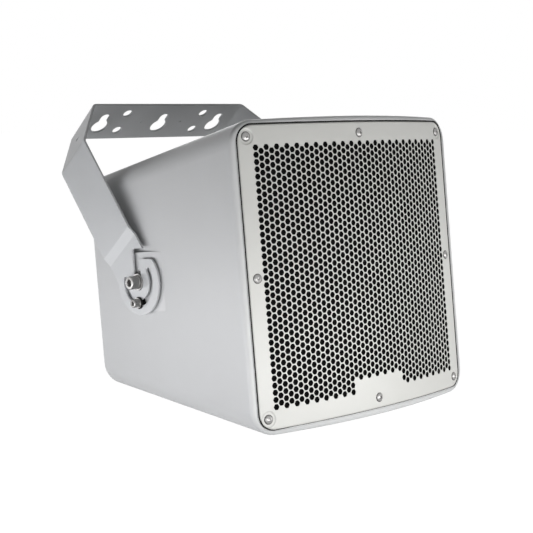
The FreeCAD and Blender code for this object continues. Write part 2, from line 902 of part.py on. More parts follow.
def make_cover_gasket():
    """Rubber frame under the rear cover."""
    sheet = plate_on_y(cover_w / 2, cover_h / 2, cover_corner_r, cabinet_depth, cover_gasket_t, (0, cover_z))
    window = plate_on_y(port_w / 2, port_h / 2, cover_corner_r, cabinet_depth - 1,
                        cover_gasket_t + 2, (0, cover_z))
    sheet = sheet.cut(window)
    for x, z in cover_screw_places():
        sheet = sheet.cut(rod(Vector(x, cabinet_depth - 1, z), Vector(0, 1, 0),
                              cover_screw_r + screw_clearance, cover_gasket_t + 2))
    return sheet


def make_cover():
    """Rear cover plate with its screw holes and the gland's hole."""
    y0 = cabinet_depth + cover_gasket_t
    plate = plate_on_y(cover_w / 2, cover_h / 2, cover_corner_r, y0, cover_t, (0, cover_z))
    for x, z in cover_screw_places():
        plate = plate.cut(rod(Vector(x, y0 - 1, z), Vector(0, 1, 0),
                              cover_screw_r + screw_clearance, cover_t + 2))
    return plate.cut(rod(Vector(gland_x, y0 - 1, cover_z), Vector(0, 1, 0), gland_bore_r, cover_t + 2))


def make_cover_screws():
    """Six pan-head screws of the rear cover."""
    y0 = cabinet_depth + cover_gasket_t + cover_t
    return flat_screws(cover_screw_places(), y0, cover_screw_r, cover_screw_head_r,
                       cover_screw_head_h, cover_t + cover_gasket_t + wall - 0.5, -1)


def make_terminals():
    """Terminal block on the inner side of the rear cover."""
    y0 = cabinet_depth + cover_gasket_t
    corner = Vector(-port_w / 2 + 8, y0 - terminal_t, cover_z - terminal_h / 2)
    block = Part.makeBox(terminal_w, terminal_t, terminal_h, corner)
    for i in range(4):
        x = corner.x + terminal_w * (i + 0.5) / 4
        block = block.cut(rod(Vector(x, y0 - terminal_t - 1, cover_z), Vector(0, 1, 0), 3.2, 8))
    return block


def make_gland():
    """Cable gland: hexagonal base, ribbed nut and the bore for the cable."""
    y0 = cabinet_depth + cover_gasket_t + cover_t
    start = Vector(gland_x, y0, cover_z)
    base = hexagon_prism(start, Vector(0, 1, 0), gland_flats, gland_base_t)
    nut_y = y0 + gland_base_t
    nut = revolved([(0, nut_y), (gland_nut_r, nut_y), (gland_nut_r, nut_y + gland_nut_l * 0.6),
                    (gland_nut_r * 0.62, nut_y + gland_nut_l), (0, nut_y + gland_nut_l)], gland_x, cover_z)
    bore = rod(Vector(gland_x, y0 - 1, cover_z), Vector(0, 1, 0), gland_bore_r,
               gland_base_t + gland_nut_l + 2)
    return base.fuse(nut).cut(bore)


# Pivot hardware on the right-hand side; each piece is mirrored to the left

def on_axis(x, offset, inner_r, outer_r, length):
    """Ring along +X round the pivot axis, or round the lock bolt when an offset is given."""
    return ring(Vector(x, pivot_y, -offset), Vector(1, 0, 0), inner_r, outer_r, length)


def socket_bolt(x_head, x_insert, offset, radius, head_r, head_h, flats):
    """Socket-head bolt along -X, from the underside of its head almost to the end of its insert."""
    seat = Vector(x_head, pivot_y, -offset)
    length = x_head - x_insert - bolt_tip_gap
    head = rod(seat, Vector(1, 0, 0), head_r, head_h)
    shank = rod(seat, Vector(-1, 0, 0), radius, length)
    socket = hexagon_prism(seat + Vector(head_h * 0.4, 0, 0), Vector(1, 0, 0), flats, head_h)
    return head.fuse(shank).cut(socket)


def pivot_stack():
    """Where each piece of the pivot's stack starts, from the pad outwards."""
    washer = tab_outer_x + slide_gap
    spring = washer + pivot_washer_t
    return {"washer": washer, "spring": spring, "head": spring + pivot_spring_t}


def lock_stack():
    """Where each piece of the lock bolt's stack starts, from the tab outwards."""
    rubber = tab_outer_x + slide_gap
    washer = rubber + rubber_washer_t
    spring = washer + lock_washer_t
    return {"rubber": rubber, "washer": washer, "spring": spring, "head": spring + lock_spring_t}


def split_ring(x, offset, inner_r, outer_r, thickness):
    """Spring washer with its slit."""
    washer = on_axis(x, offset, inner_r, outer_r, thickness)
    slit = Part.makeBox(thickness + 2, outer_r, thickness / 2,
                        Vector(x - 1, pivot_y, -offset - thickness / 4))
    return washer.cut(slit)


def hardware():
    """All pieces of the pivots and lock bolts, by name."""
    pivot = pivot_stack()
    lock = lock_stack()
    pivot_hole = pivot_bolt_r + thread_clearance
    lock_hole = lock_bolt_r + thread_clearance
    insert_x = side_pad_x - pivot_insert_l
    lock_insert_x = side_pad_x - lock_insert_l
    sleeve_l = tab_gap + strip_t + slide_gap
    pieces = {
        "pivot_insert": on_axis(insert_x, 0, pivot_hole, pivot_insert_r, pivot_insert_l),
        "lock_insert": on_axis(lock_insert_x, lock_offset, lock_hole, lock_insert_r, lock_insert_l),
        "pivot_sleeve": on_axis(side_pad_x, 0, pivot_hole, sleeve_r, sleeve_l),
        "pad_spacer": on_axis(side_pad_x, 0, sleeve_r + thread_clearance, spacer_r, tab_gap - slide_gap),
        "pivot_washer": on_axis(pivot["washer"], 0, pivot_hole, pivot_washer_r, pivot_washer_t),
        "pivot_spring_washer": split_ring(pivot["spring"], 0, pivot_hole, pivot_spring_r, pivot_spring_t),
        "pivot_bolt": socket_bolt(pivot["head"], insert_x, 0, pivot_bolt_r, pivot_head_r,
                                  pivot_head_h, pivot_socket_flats),
        "rubber_washer": on_axis(lock["rubber"], lock_offset, lock_hole, rubber_washer_r, rubber_washer_t),
        "lock_washer": on_axis(lock["washer"], lock_offset, lock_hole, lock_washer_r, lock_washer_t),
        "lock_spring_washer": split_ring(lock["spring"], lock_offset, lock_hole, lock_spring_r,
                                         lock_spring_t),
        "lock_bolt": socket_bolt(lock["head"], lock_insert_x, lock_offset, lock_bolt_r, lock_head_r,
                                 lock_head_h, lock_socket_flats),
    }
    return {name + "s": together(mirrored_pair(shape)) for name, shape in pieces.items()}


# Bracket, drawn upright with the pivot axis on X and the plate on top

def offset_corner(before, corner, after, distance):
    """Corner of a path moved sideways by a distance, to the left of its direction."""
    first = corner.sub(before).normalize()
    second = after.sub(corner).normalize()
    left_first = Vector(-first.y, first.x, 0)
    left_second = Vector(-second.y, second.x, 0)
    bisector = left_first.add(left_second)
    return corner + bisector * (distance / (1 + left_first.dot(left_second)))


def strip_outline():
    """Closed section of the bent strip in the X-Z plane, as points and corner radii."""
    inner_x = tab_x
    path = [(inner_x, -tab_r - 1), (inner_x, joggle_u - joggle_run / 2),
            (arm_x, joggle_u + joggle_run / 2), (arm_x, arm_length),
            (arm_x - corner_w, arm_length + corner_h)]
    right = [Vector(x, z, 0) for x, z in path]
    left = [Vector(-p.x, p.y, 0) for p in reversed(right)]
    centre = right + left
    inside = []
    outside = []
    inner_radii = []
    outer_radii = []
    count = len(centre)
    for i, here in enumerate(centre):
        if i == 0 or i == count - 1:
            inside.append((here.x, here.y))
            outside.append((here.x + math.copysign(strip_t, here.x), here.y))
            inner_radii.append(0)
            outer_radii.append(0)
            continue
        moved = offset_corner(centre[i - 1], here, centre[i + 1], -strip_t)
        first = here.sub(centre[i - 1])
        second = centre[i + 1].sub(here)
        turns_in = first.x * second.y - first.y * second.x > 0
        inside.append((here.x, here.y))
        outside.append((moved.x, moved.y))
        inner_radii.append(bend_r if turns_in else bend_r + strip_t)
        outer_radii.append(bend_r + strip_t if turns_in else bend_r)
    return inside + outside[::-1], inner_radii + outer_radii[::-1]


def arc_slot_face(x):
    """Face of the curved slot for the lock bolt, as it stands with the bracket at its drawn angle."""
    inner = arc_slot_r - arc_slot_w / 2
    outer = arc_slot_r + arc_slot_w / 2
    middle = (arc_slot_start + arc_slot_end) / 2

    def at(radius, angle):
        return Vector(x, pivot_y + radius * math.cos(angle), radius * math.sin(angle))

    def cap(angle, beyond):
        return at(arc_slot_r, angle) + (at(1, angle + beyond) - at(0, 0)) * (arc_slot_w / 2)

    quarter = math.pi / 2
    first = arc_slot_start
    last = arc_slot_end
    arcs = [
        (at(outer, first), at(outer, middle), at(outer, last)),
        (at(outer, last), cap(last, quarter), at(inner, last)),
        (at(inner, last), at(inner, middle), at(inner, first)),
        (at(inner, first), cap(first, -quarter), at(outer, first)),
    ]
    return Part.Face(Part.Wire([Part.Arc(*points).toShape() for points in arcs]))


def hook_face(x):
    """Face of the hooked slot: up from the pivot bolt, then out through the tab's front edge."""
    half = pivot_slot_w / 2
    low = pivot_slot_top - mouth_h
    front = pivot_y - tab_r - 20
    points = [(pivot_y - half, -half), (pivot_y + half, -half), (pivot_y + half, pivot_slot_top),
              (front, pivot_slot_top), (front, low), (pivot_y - half, low)]
    round_end = half * 0.999
    return Part.Face(rounded_polygon(points, [round_end, round_end, 3, 0, 0, 3], side_plane(x)))


def hook_tip_edges(shape):
    """Outer corner edge of each tab's hook, where its top meets the tab's rim."""
    low = pivot_slot_top - mouth_h
    corner_y = pivot_y - math.sqrt(tab_r ** 2 - low ** 2)
    found = []
    for edge in shape.Edges:
        box = edge.BoundBox
        beside = abs(box.YMin - corner_y) < 0.1 and abs(box.YMax - corner_y) < 0.1
        if beside and abs(box.ZMin - low) < 0.1 and abs(box.ZMax - low) < 0.1:
            found.append(edge)
    return found


def keyhole_tools(top):
    """Cutters for the keyholes, round holes and centre marks of the plate."""
    tools = []
    down = Vector(0, 0, -1)
    start = top + 1
    length = strip_t + 2
    for i in (-1, 0, 1):
        x = i * keyhole_pitch
        tools.append(rod(Vector(x, -keyhole_low, start), down, keyhole_r, length))
        tools.append(rod(Vector(x, -keyhole_high, start), down, keyhole_slot_r, length))
        tools.append(Part.makeBox(2 * keyhole_slot_r, keyhole_high - keyhole_low, length,
                                  Vector(x - keyhole_slot_r, -keyhole_high, start - length)))
    for i in (-1, 1):
        for j in (-1, 1):
            tools.append(rod(Vector(i * plate_hole_x, j * plate_hole_w, start), down, plate_hole_r, length))
        inner = top - strip_t
        tools.append(rod(Vector(i * mark_x, 0, inner - 1), Vector(0, 0, 1), mark_r, mark_depth + 1))
    return tools


def make_bracket():
    """Strip bent to a U with slanted corners, two slotted pivot tabs and a drilled plate."""
    points, radii = strip_outline()
    section = Part.Face(rounded_polygon(points, radii, front_plane(-tab_r - 2)))
    sheet = section.extrude(Vector(0, 2 * tab_r + 4, 0))
    top = arm_length + corner_h + strip_t * 2
    side_view = Part.makeBox(2 * tab_outer_x + 40, strip_w, top + 10,
                             Vector(-tab_outer_x - 20, -strip_w / 2, 0))
    disc = rod(Vector(-tab_outer_x - 20, 0, 0), Vector(1, 0, 0), tab_r, 2 * tab_outer_x + 40)
    bracket = sheet.common(side_view.fuse(disc))
    slant = Vector(corner_h, 0, corner_w).normalize()
    corner_middle = Vector(arm_x - corner_w / 2, 0, arm_length + corner_h / 2)
    for hole in mirrored_pair(rod(corner_middle - slant, slant, corner_hole_r, strip_t + 2)):
        bracket = bracket.cut(hole)
    plate_top = bracket.BoundBox.ZMax
    for tool in keyhole_tools(plate_top):
        bracket = bracket.cut(tool)
    lean = math.degrees(bracket_angle) - 90
    bracket = bracket.rotated(Vector(0, 0, 0), Vector(1, 0, 0), lean)
    bracket = bracket.translated(Vector(0, pivot_y, 0))
    reach = tab_outer_x + 20
    for face in (arc_slot_face(-reach), hook_face(-reach)):
        bracket = bracket.cut(face.extrude(Vector(2 * reach, 0, 0)))
    return bracket.makeFillet(hook_tip_r, hook_tip_edges(bracket))


# Whole speaker

def base_centre():
    """Middle of the flat underside, in the cabinet's frame."""
    front = front_corner_y + front_edge_r
    back = cabinet_depth - rear_edge_r
    y = (front + back) / 2
    return Vector(0, y, -half_height(y))


def at_rest(shape):
    """Turn a piece from the cabinet's frame to the frame of the speaker standing on its underside."""
    moved = shape.translated(base_centre() * -1)
    return moved.rotated(Vector(0, 0, 0), Vector(1, 0, 0), -math.degrees(taper))


def build():
    """Every sub-part by name, in the cabinet's frame."""
    parts = {
        "cabinet_shell": make_cabinet(),
        "baffle_board": make_baffle(),
        "baffle_screws": make_baffle_screws(),
        "front_grille": make_grille(),
        "grille_gasket": make_grille_gasket(),
        "weather_mesh": make_weather_mesh(),
        "grille_screws": make_grille_screws(),
        "woofer_basket": make_basket(),
        "woofer_screws": make_woofer_screws(),
        "woofer_surround": make_surround(),
        "woofer_cone": make_cone(),
        "woofer_ring_gasket": make_ring_gasket(),
        "woofer_spider": make_spider(),
        "voice_coil": make_coil(),
        "magnet_top_plate": make_top_plate(),
        "magnet_ring": make_ferrite(),
        "magnet_back_plate": make_pole(),
        "high_frequency_horn": make_horn(),
        "high_frequency_driver": make_hf_driver(),
        "filter_board": make_board(),
        "filter_standoffs": make_standoffs(),
        "filter_coils": make_filter_coils(),
        "filter_capacitors": make_capacitors(),
        "filter_resistors": make_resistors(),
        "transformer_core": make_core(),
        "transformer_winding": make_winding(),
        "transformer_strap": make_strap(),
        "damping_pads": make_damping(),
        "rear_cover_gasket": make_cover_gasket(),
        "rear_cover": make_cover(),
        "rear_cover_screws": make_cover_screws(),
        "terminal_block": make_terminals(),
        "cable_gland": make_gland(),
        "u_bracket": make_bracket(),
    }
    parts.update(hardware())
    return parts


os.makedirs("parts", exist_ok=True)
for name, shape in build().items():
    at_rest(shape).exportStep("parts/" + name + ".step")
    print(name, len(shape.Solids), round(shape.Volume / 1000, 1), "cm3")
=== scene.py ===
"""Looks of an outdoor loudspeaker: painted moulded cabinet, perforated grille and tilting bracket."""
import json
import logging
import math
from dataclasses import dataclass, field
from enum import Enum
from typing import Callable, Sequence

import bmesh
import bpy
import numpy as np
from mathutils import Matrix, Vector
from mathutils.geometry import delaunay_2d_cdt


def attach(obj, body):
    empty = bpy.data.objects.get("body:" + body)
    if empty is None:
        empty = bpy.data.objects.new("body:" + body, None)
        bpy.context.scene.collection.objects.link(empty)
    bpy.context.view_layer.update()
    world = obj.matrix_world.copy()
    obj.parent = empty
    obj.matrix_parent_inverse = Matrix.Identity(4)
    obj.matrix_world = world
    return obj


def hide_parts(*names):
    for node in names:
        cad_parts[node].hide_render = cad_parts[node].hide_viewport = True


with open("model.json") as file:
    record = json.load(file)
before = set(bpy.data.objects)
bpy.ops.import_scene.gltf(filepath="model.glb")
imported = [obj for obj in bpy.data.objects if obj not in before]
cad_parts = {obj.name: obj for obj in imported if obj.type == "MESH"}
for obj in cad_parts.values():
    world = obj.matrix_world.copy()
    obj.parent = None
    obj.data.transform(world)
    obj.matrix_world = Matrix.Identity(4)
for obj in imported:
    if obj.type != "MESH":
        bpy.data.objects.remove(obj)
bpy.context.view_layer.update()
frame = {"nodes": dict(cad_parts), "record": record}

log = logging.getLogger("speaker")

# A millimetre, and the distances at which vertices merge and slivers go, in metres
MM = 0.001
MERGE = 2e-6
SLIVER = 1e-6
# Distance at which flat points merge, and twice the area at which flat triangles go, in millimetres
FLAT_MERGE = 1e-5
FLAT_SLIVER = 1e-7

Point = tuple[float, float, float]
Pair = tuple[float, float]
Profile = list[tuple[float, ...]]
Tree = bpy.types.NodeTree
Socket = bpy.types.NodeSocket
OfPoints = Callable[[np.ndarray], np.ndarray]


# Frame of the cabinet

@dataclass(frozen=True)
class CabinetFrame:
    """The cabinet's own frame in millimetres: the front faces -Y and the pivot axis is at Z = 0."""

    taper: float = math.radians(6.6)
    base_y: float = 184.47626
    base_z: float = -156.15321
    pivot_y: float = 228.0
    bow_r: float = 757.0
    pad_x: float = 164.31735

    def points(self, local: np.ndarray) -> np.ndarray:
        """Turn points of the cabinet's frame into metres of the shared frame.

        Args:
            local: array of shape (n, 3), in millimetres.

        Returns:
            Array of the same shape: moved to the base centre, then turned about X by minus the taper.
        """
        moved = np.asarray(local, float) - (0.0, self.base_y, self.base_z)
        return self.directions(moved) * MM

    def directions(self, local: np.ndarray) -> np.ndarray:
        """Directions (n, 3) of the cabinet's frame, turned about X by minus the taper."""
        cos, sin = math.cos(self.taper), math.sin(self.taper)
        x, y, z = np.asarray(local, float).T
        return np.stack([x, y * cos + z * sin, z * cos - y * sin], 1)

    def bowed(self, flat: np.ndarray, depth: np.ndarray | float) -> np.ndarray:
        """Points behind the bowed front, which is a cylinder about an upright axis.

        Args:
            flat: arc length along the bow and height, (n, 2).
            depth: how far behind the front.

        Returns:
            Array (n, 3): radius times sine, bow radius minus radius times cosine, height.
        """
        angle = flat[:, 0] / self.bow_r
        radius = self.bow_r - depth
        return np.stack([radius * np.sin(angle), self.bow_r - radius * np.cos(angle), flat[:, 1]], 1)

    def on_bow(self, flat: np.ndarray, depth: np.ndarray | float) -> np.ndarray:
        """The bowed points in metres of the shared frame."""
        return self.points(self.bowed(flat, depth))

    def along(self, x: float) -> float:
        """Arc length at a distance from the middle: bow radius times the arcsine of their ratio."""
        return self.bow_r * math.asin(x / self.bow_r)


CABINET = CabinetFrame()


# Meshes

class Skin:
    """Vertices and faces gathered part by part, then made into one mesh."""

    def __init__(self) -> None:
        """Start with nothing."""
        self.points: list[np.ndarray] = []
        self.faces: list[list[int]] = []
        self.count = 0

    def add(self, points: np.ndarray, faces: Sequence[Sequence[int]]) -> None:
        """Add vertices in metres of the shared frame, and faces that count within them."""
        base = self.count
        self.points.append(np.asarray(points, float))
        self.faces += [[int(i) + base for i in f] for f in faces]
        self.count += len(points)

    def add_rings(self, rings: Sequence[np.ndarray], closed: bool = True) -> None:
        """Join rings of equal length with quads, each ring to the next.

        Args:
            rings: arrays (n, 3), in metres.
            closed: whether each ring returns to its start.
        """
        n = len(rings[0])
        i = np.arange(n if closed else n - 1)
        j = (i + 1) % n
        faces: list[list[int]] = []
        for low in range(0, (len(rings) - 1) * n, n):
            faces += np.stack([low + i, low + j, low + n + j, low + n + i], 1).tolist()
        self.add(np.concatenate(rings), faces)

    def build(self, name: str, sharp: float) -> bpy.types.Object:
        """Make the object, with doubles merged, faces turned outwards and sharp edges marked.

        Args:
            name: the piece's name.
            sharp: edges that turn by more than this many degrees stay sharp.

        Returns:
            The new object, at the origin.
        """
        mesh = bpy.data.meshes.new(name)
        mesh.from_pydata(np.concatenate(self.points).tolist(), [], self.faces)
        work = bmesh.new()
        work.from_mesh(mesh)
        bmesh.ops.remove_doubles(work, verts=work.verts, dist=MERGE)
        bmesh.ops.dissolve_degenerate(work, edges=work.edges, dist=SLIVER)
        bmesh.ops.recalc_face_normals(work, faces=work.faces)
        limit = math.radians(sharp)
        for face in work.faces:
            face.smooth = True
        for edge in work.edges:
            edge.smooth = len(edge.link_faces) == 2 and edge.calc_face_angle(0.0) < limit
        work.to_mesh(mesh)
        work.free()
        obj = bpy.data.objects.new(name, mesh)
        bpy.context.scene.collection.objects.link(obj)
        return obj


def arc(cx: float, cy: float, radius: float, first: float, last: float, count: int,
        whole: bool = True) -> np.ndarray:
    """Points of an arc from its first angle on: centre plus radius times cosine and sine."""
    t = np.linspace(first, last, count, endpoint=whole)
    return np.stack([cx + radius * np.cos(t), cy + radius * np.sin(t)], 1)


def circle(cx: float, cy: float, radius: float, count: int) -> np.ndarray:
    """Points of a circle, anticlockwise."""
    return arc(cx, cy, radius, 0, 2 * math.pi, count, whole=False)


def rounded_outline(half_w: float, half_h: float, r: float, per_corner: int = 12,
                    per_side: int = 80) -> np.ndarray:
    """Closed outline of a rounded rectangle: four arcs joined by evenly divided straight sides.

    Args:
        half_w: half its width.
        half_h: half its height.
        r: radius of its corners.
        per_corner: points on each arc.
        per_side: points between two arcs.

    Returns:
        Points (n, 2), anticlockwise, always as many for the same counts.
    """
    corners = ((1, 1), (-1, 1), (-1, -1), (1, -1))
    arcs = [arc(x * (half_w - r), y * (half_h - r), r, i * math.pi / 2, (i + 1) * math.pi / 2, per_corner)
            for i, (x, y) in enumerate(corners)]
    share = np.linspace(0, 1, per_side + 2)[1:-1, None]
    out = []
    for part, follow in zip(arcs, arcs[1:] + arcs[:1]):
        out += [part, part[-1] * (1 - share) + follow[0] * share]
    return np.concatenate(out)


def offset_loop(loop: np.ndarray, distance: float) -> np.ndarray:
    """Move a closed anticlockwise outline inwards.

    Args:
        loop: points (n, 2).
        distance: how far; below zero moves it outwards.

    Returns:
        Each point moved along the mean of its two sides' left normals, over the cosine of half the turn.
    """
    back = loop - np.roll(loop, 1, 0)
    ahead = np.roll(loop, -1, 0) - loop
    back /= np.linalg.norm(back, axis=1)[:, None]
    ahead /= np.linalg.norm(ahead, axis=1)[:, None]
    left = np.stack([-(back + ahead)[:, 1], (back + ahead)[:, 0]], 1)
    length = np.linalg.norm(left, axis=1)[:, None]
    return loop + left / length * (distance / np.clip(length / 2, 0.5, 1))


def inside(points: np.ndarray, loop: np.ndarray) -> np.ndarray:
    """Whether each point lies in a closed outline, by counting the sides that a ray to +X crosses."""
    x, y = points[:, 0][:, None], points[:, 1][:, None]
    a, b = loop[None], np.roll(loop, -1, 0)[None]
    crosses = (a[..., 1] > y) != (b[..., 1] > y)
    rise = np.where(b[..., 1] == a[..., 1], 1e-12, b[..., 1] - a[..., 1])
    where = a[..., 0] + (y - a[..., 1]) * (b[..., 0] - a[..., 0]) / rise
    return (np.sum(crosses & (x < where), 1) % 2).astype(bool)


def triangles(loops: Sequence[np.ndarray], edges: Sequence[tuple[int, int]], keep: OfPoints,
              extra: Sequence[np.ndarray] = ()) -> tuple[np.ndarray, np.ndarray]:
    """Triangles between outlines, by a constrained Delaunay division of the plane.

    Args:
        loops: closed outlines, each (n, 2).
        edges: more constrained edges, as indices into the loops' points and then the extra ones.
        keep: tells from the middles of triangles which ones stay.
        extra: arrays of more points.

    Returns:
        The points (n, 2) and the triangles (k, 3), anticlockwise.
    """
    points = np.concatenate([*loops, *extra])
    sides = list(edges)
    start = 0
    for loop in loops:
        i = np.arange(len(loop))
        sides += list(zip((start + i).tolist(), (start + (i + 1) % len(loop)).tolist()))
        start += len(loop)
    found = delaunay_2d_cdt([Vector(p) for p in points], sides, [], 0, FLAT_MERGE, False)
    flat = np.array([tuple(v) for v in found[0]], float)
    tris = np.array([list(f) for f in found[2]], int)
    a, b, c = flat[tris[:, 0]], flat[tris[:, 1]], flat[tris[:, 2]]
    turn = (b - a)[:, 0] * (c - a)[:, 1] - (b - a)[:, 1] * (c - a)[:, 0]
    tris[turn < 0] = tris[turn < 0][:, ::-1]
    return flat, tris[keep((a + b + c) / 3) & (np.abs(turn) > FLAT_SLIVER)]


@dataclass
class CutSheet:
    """Sheet metal with holes, drilled pits and slightly broken edges, laid along any surface.

    A point of the sheet is a function of two flat coordinates and of the height over the sheet's middle.
    A pit is given by its middle, radius and depth.
    """

    outline: np.ndarray
    holes: list[np.ndarray]
    thickness: float
    edge_break: float
    place: Callable[[np.ndarray, np.ndarray], np.ndarray]
    bend_lines: list[float] = field(default_factory=list)
    half_band: float = 0.0
    pits: Sequence[tuple[float, float, float, float]] = ()
    pit_points: int = 20
    pit_taper: float = 0.4

    def build(self, skin: Skin) -> None:
        """Add both faces, the pits, the broken edges and the walls to a skin."""
        half = self.thickness / 2
        loops = [(self.outline, self.edge_break)] + [(h, -self.edge_break) for h in self.holes]
        insets = [offset_loop(loop, by) for loop, by in loops]
        edge = insets[0]
        bends = []
        for s in self.bend_lines:
            gaps = [np.abs(edge[:, 0] - s) + np.abs(edge[:, 1] - w * (self.half_band - self.edge_break))
                    for w in (-1, 1)]
            bends.append((int(np.argmin(gaps[0])), int(np.argmin(gaps[1]))))

        def beside(cuts: list[np.ndarray]) -> OfPoints:
            """Test of which middles lie in the outline and in none of the cuts."""
            return lambda middles: inside(middles, edge) & ~np.any([inside(middles, cut) for cut in cuts], 0)

        def at(ring: np.ndarray, height: float) -> np.ndarray:
            """Points of a flat ring at one height."""
            return self.place(ring, np.full(len(ring), height))

        pits = [circle(s, w, r, self.pit_points) for s, w, r, _ in self.pits]
        for height, cuts, turn in ((half, insets[1:], 1), (-half, insets[1:] + pits, -1)):
            flat, tris = triangles([edge, *cuts], bends, beside(cuts))
            skin.add(at(flat, height), tris[:, ::turn].tolist())
        for pit, (s, w, _, depth) in zip(pits, self.pits):
            low = at((pit - (s, w)) * self.pit_taper + (s, w), depth - half)
            skin.add_rings([at(pit, -half), low])
            skin.add(low, [range(len(pit))])
        for (loop, by), inset in zip(loops, insets):
            wall = half - self.edge_break
            rings = [at(inset, half), at(loop, wall), at(loop, -wall), at(inset, -half)]
            skin.add_rings(rings if by < 0 else rings[::-1])


@dataclass(frozen=True)
class Turned:
    """Turned piece: rings of a profile about an axis, each round, hexagonal or knurled."""

    centre: Point
    axis: Point
    segments: int = 72
    spin: float = 0.0

    def add(self, skin: Skin, profile: Profile, ring: bool = False, gap: float = 0.0,
            rise: float = 0.0) -> None:
        """Add the surface: radius times (hexagon share) less the knurl wave, at each height and angle.

        Args:
            skin: what it is added to.
            profile: height, radius, hexagon share and knurl depth of each ring, in millimetres; the last two
                are zero where they are left out.
            ring: whether the profile returns to its start, as for a washer.
            gap: angle that is left open, as in a split washer.
            rise: height gained over one turn.
        """
        axis = np.array(self.axis) / np.linalg.norm(self.axis)
        side = np.cross(axis, (0.0, 0.0, 1.0) if abs(axis[2]) < 0.9 else (1.0, 0.0, 0.0))
        side /= np.linalg.norm(side)
        other = np.cross(axis, side)
        split = gap > 0
        t = np.linspace(gap / 2, 2 * math.pi - gap / 2, self.segments + split, endpoint=split)
        turn = t + self.spin
        sixth = math.pi / 3
        hexagon = 1 / np.cos((t + sixth / 2) % sixth - sixth / 2)
        ridges = np.where(np.arange(len(t)) % 2 == 0, 0.0, 1.0)
        around = np.cos(turn)[:, None] * side + np.sin(turn)[:, None] * other
        rings = []
        for row in profile + (profile[:1] if ring else []):
            height, radius, share, knurl = (*row, 0, 0)[:4]
            rho = radius * (1 + share * (hexagon - 1)) - knurl * ridges
            up = height + rise * (t / (2 * math.pi) - 0.5)
            rings.append(CABINET.points(np.array(self.centre) + up[:, None] * axis + rho[:, None] * around))
        skin.add_rings(rings, closed=not split)
        if split:
            for at in (0, -1):
                skin.add(np.array([r[at] for r in rings[:-1]]), [range(len(rings) - 1)])


# Finishes

class Pattern(Enum):
    """What the surface shows close up."""

    PAINT = "paint"
    BRUSHED = "brushed"
    MOULDED = "moulded"
    WOVEN = "woven"
    CAST = "cast"
    WOUND = "wound"


def grey(level: float, warm: float = 0.0) -> Point:
    """A grey in linear light, a little warmer or cooler."""
    return (level * (1 + warm), level, level * (1 - warm))


@dataclass(frozen=True)
class Finish:
    """One finish: two colours that are mottled, gloss, and the size and depth of its grain."""

    name: str
    pattern: Pattern
    colour: Point
    second: Point
    roughness: float
    grain_mm: float
    depth_mm: float
    metallic: float = 0.0
    wear: float = 0.0
    worn: Point = (0.5, 0.5, 0.5)
    specular: float = 0.5
    mottle_mm: float = 60.0
    gloss_spread: float = 0.05
    bump: float = 0.6


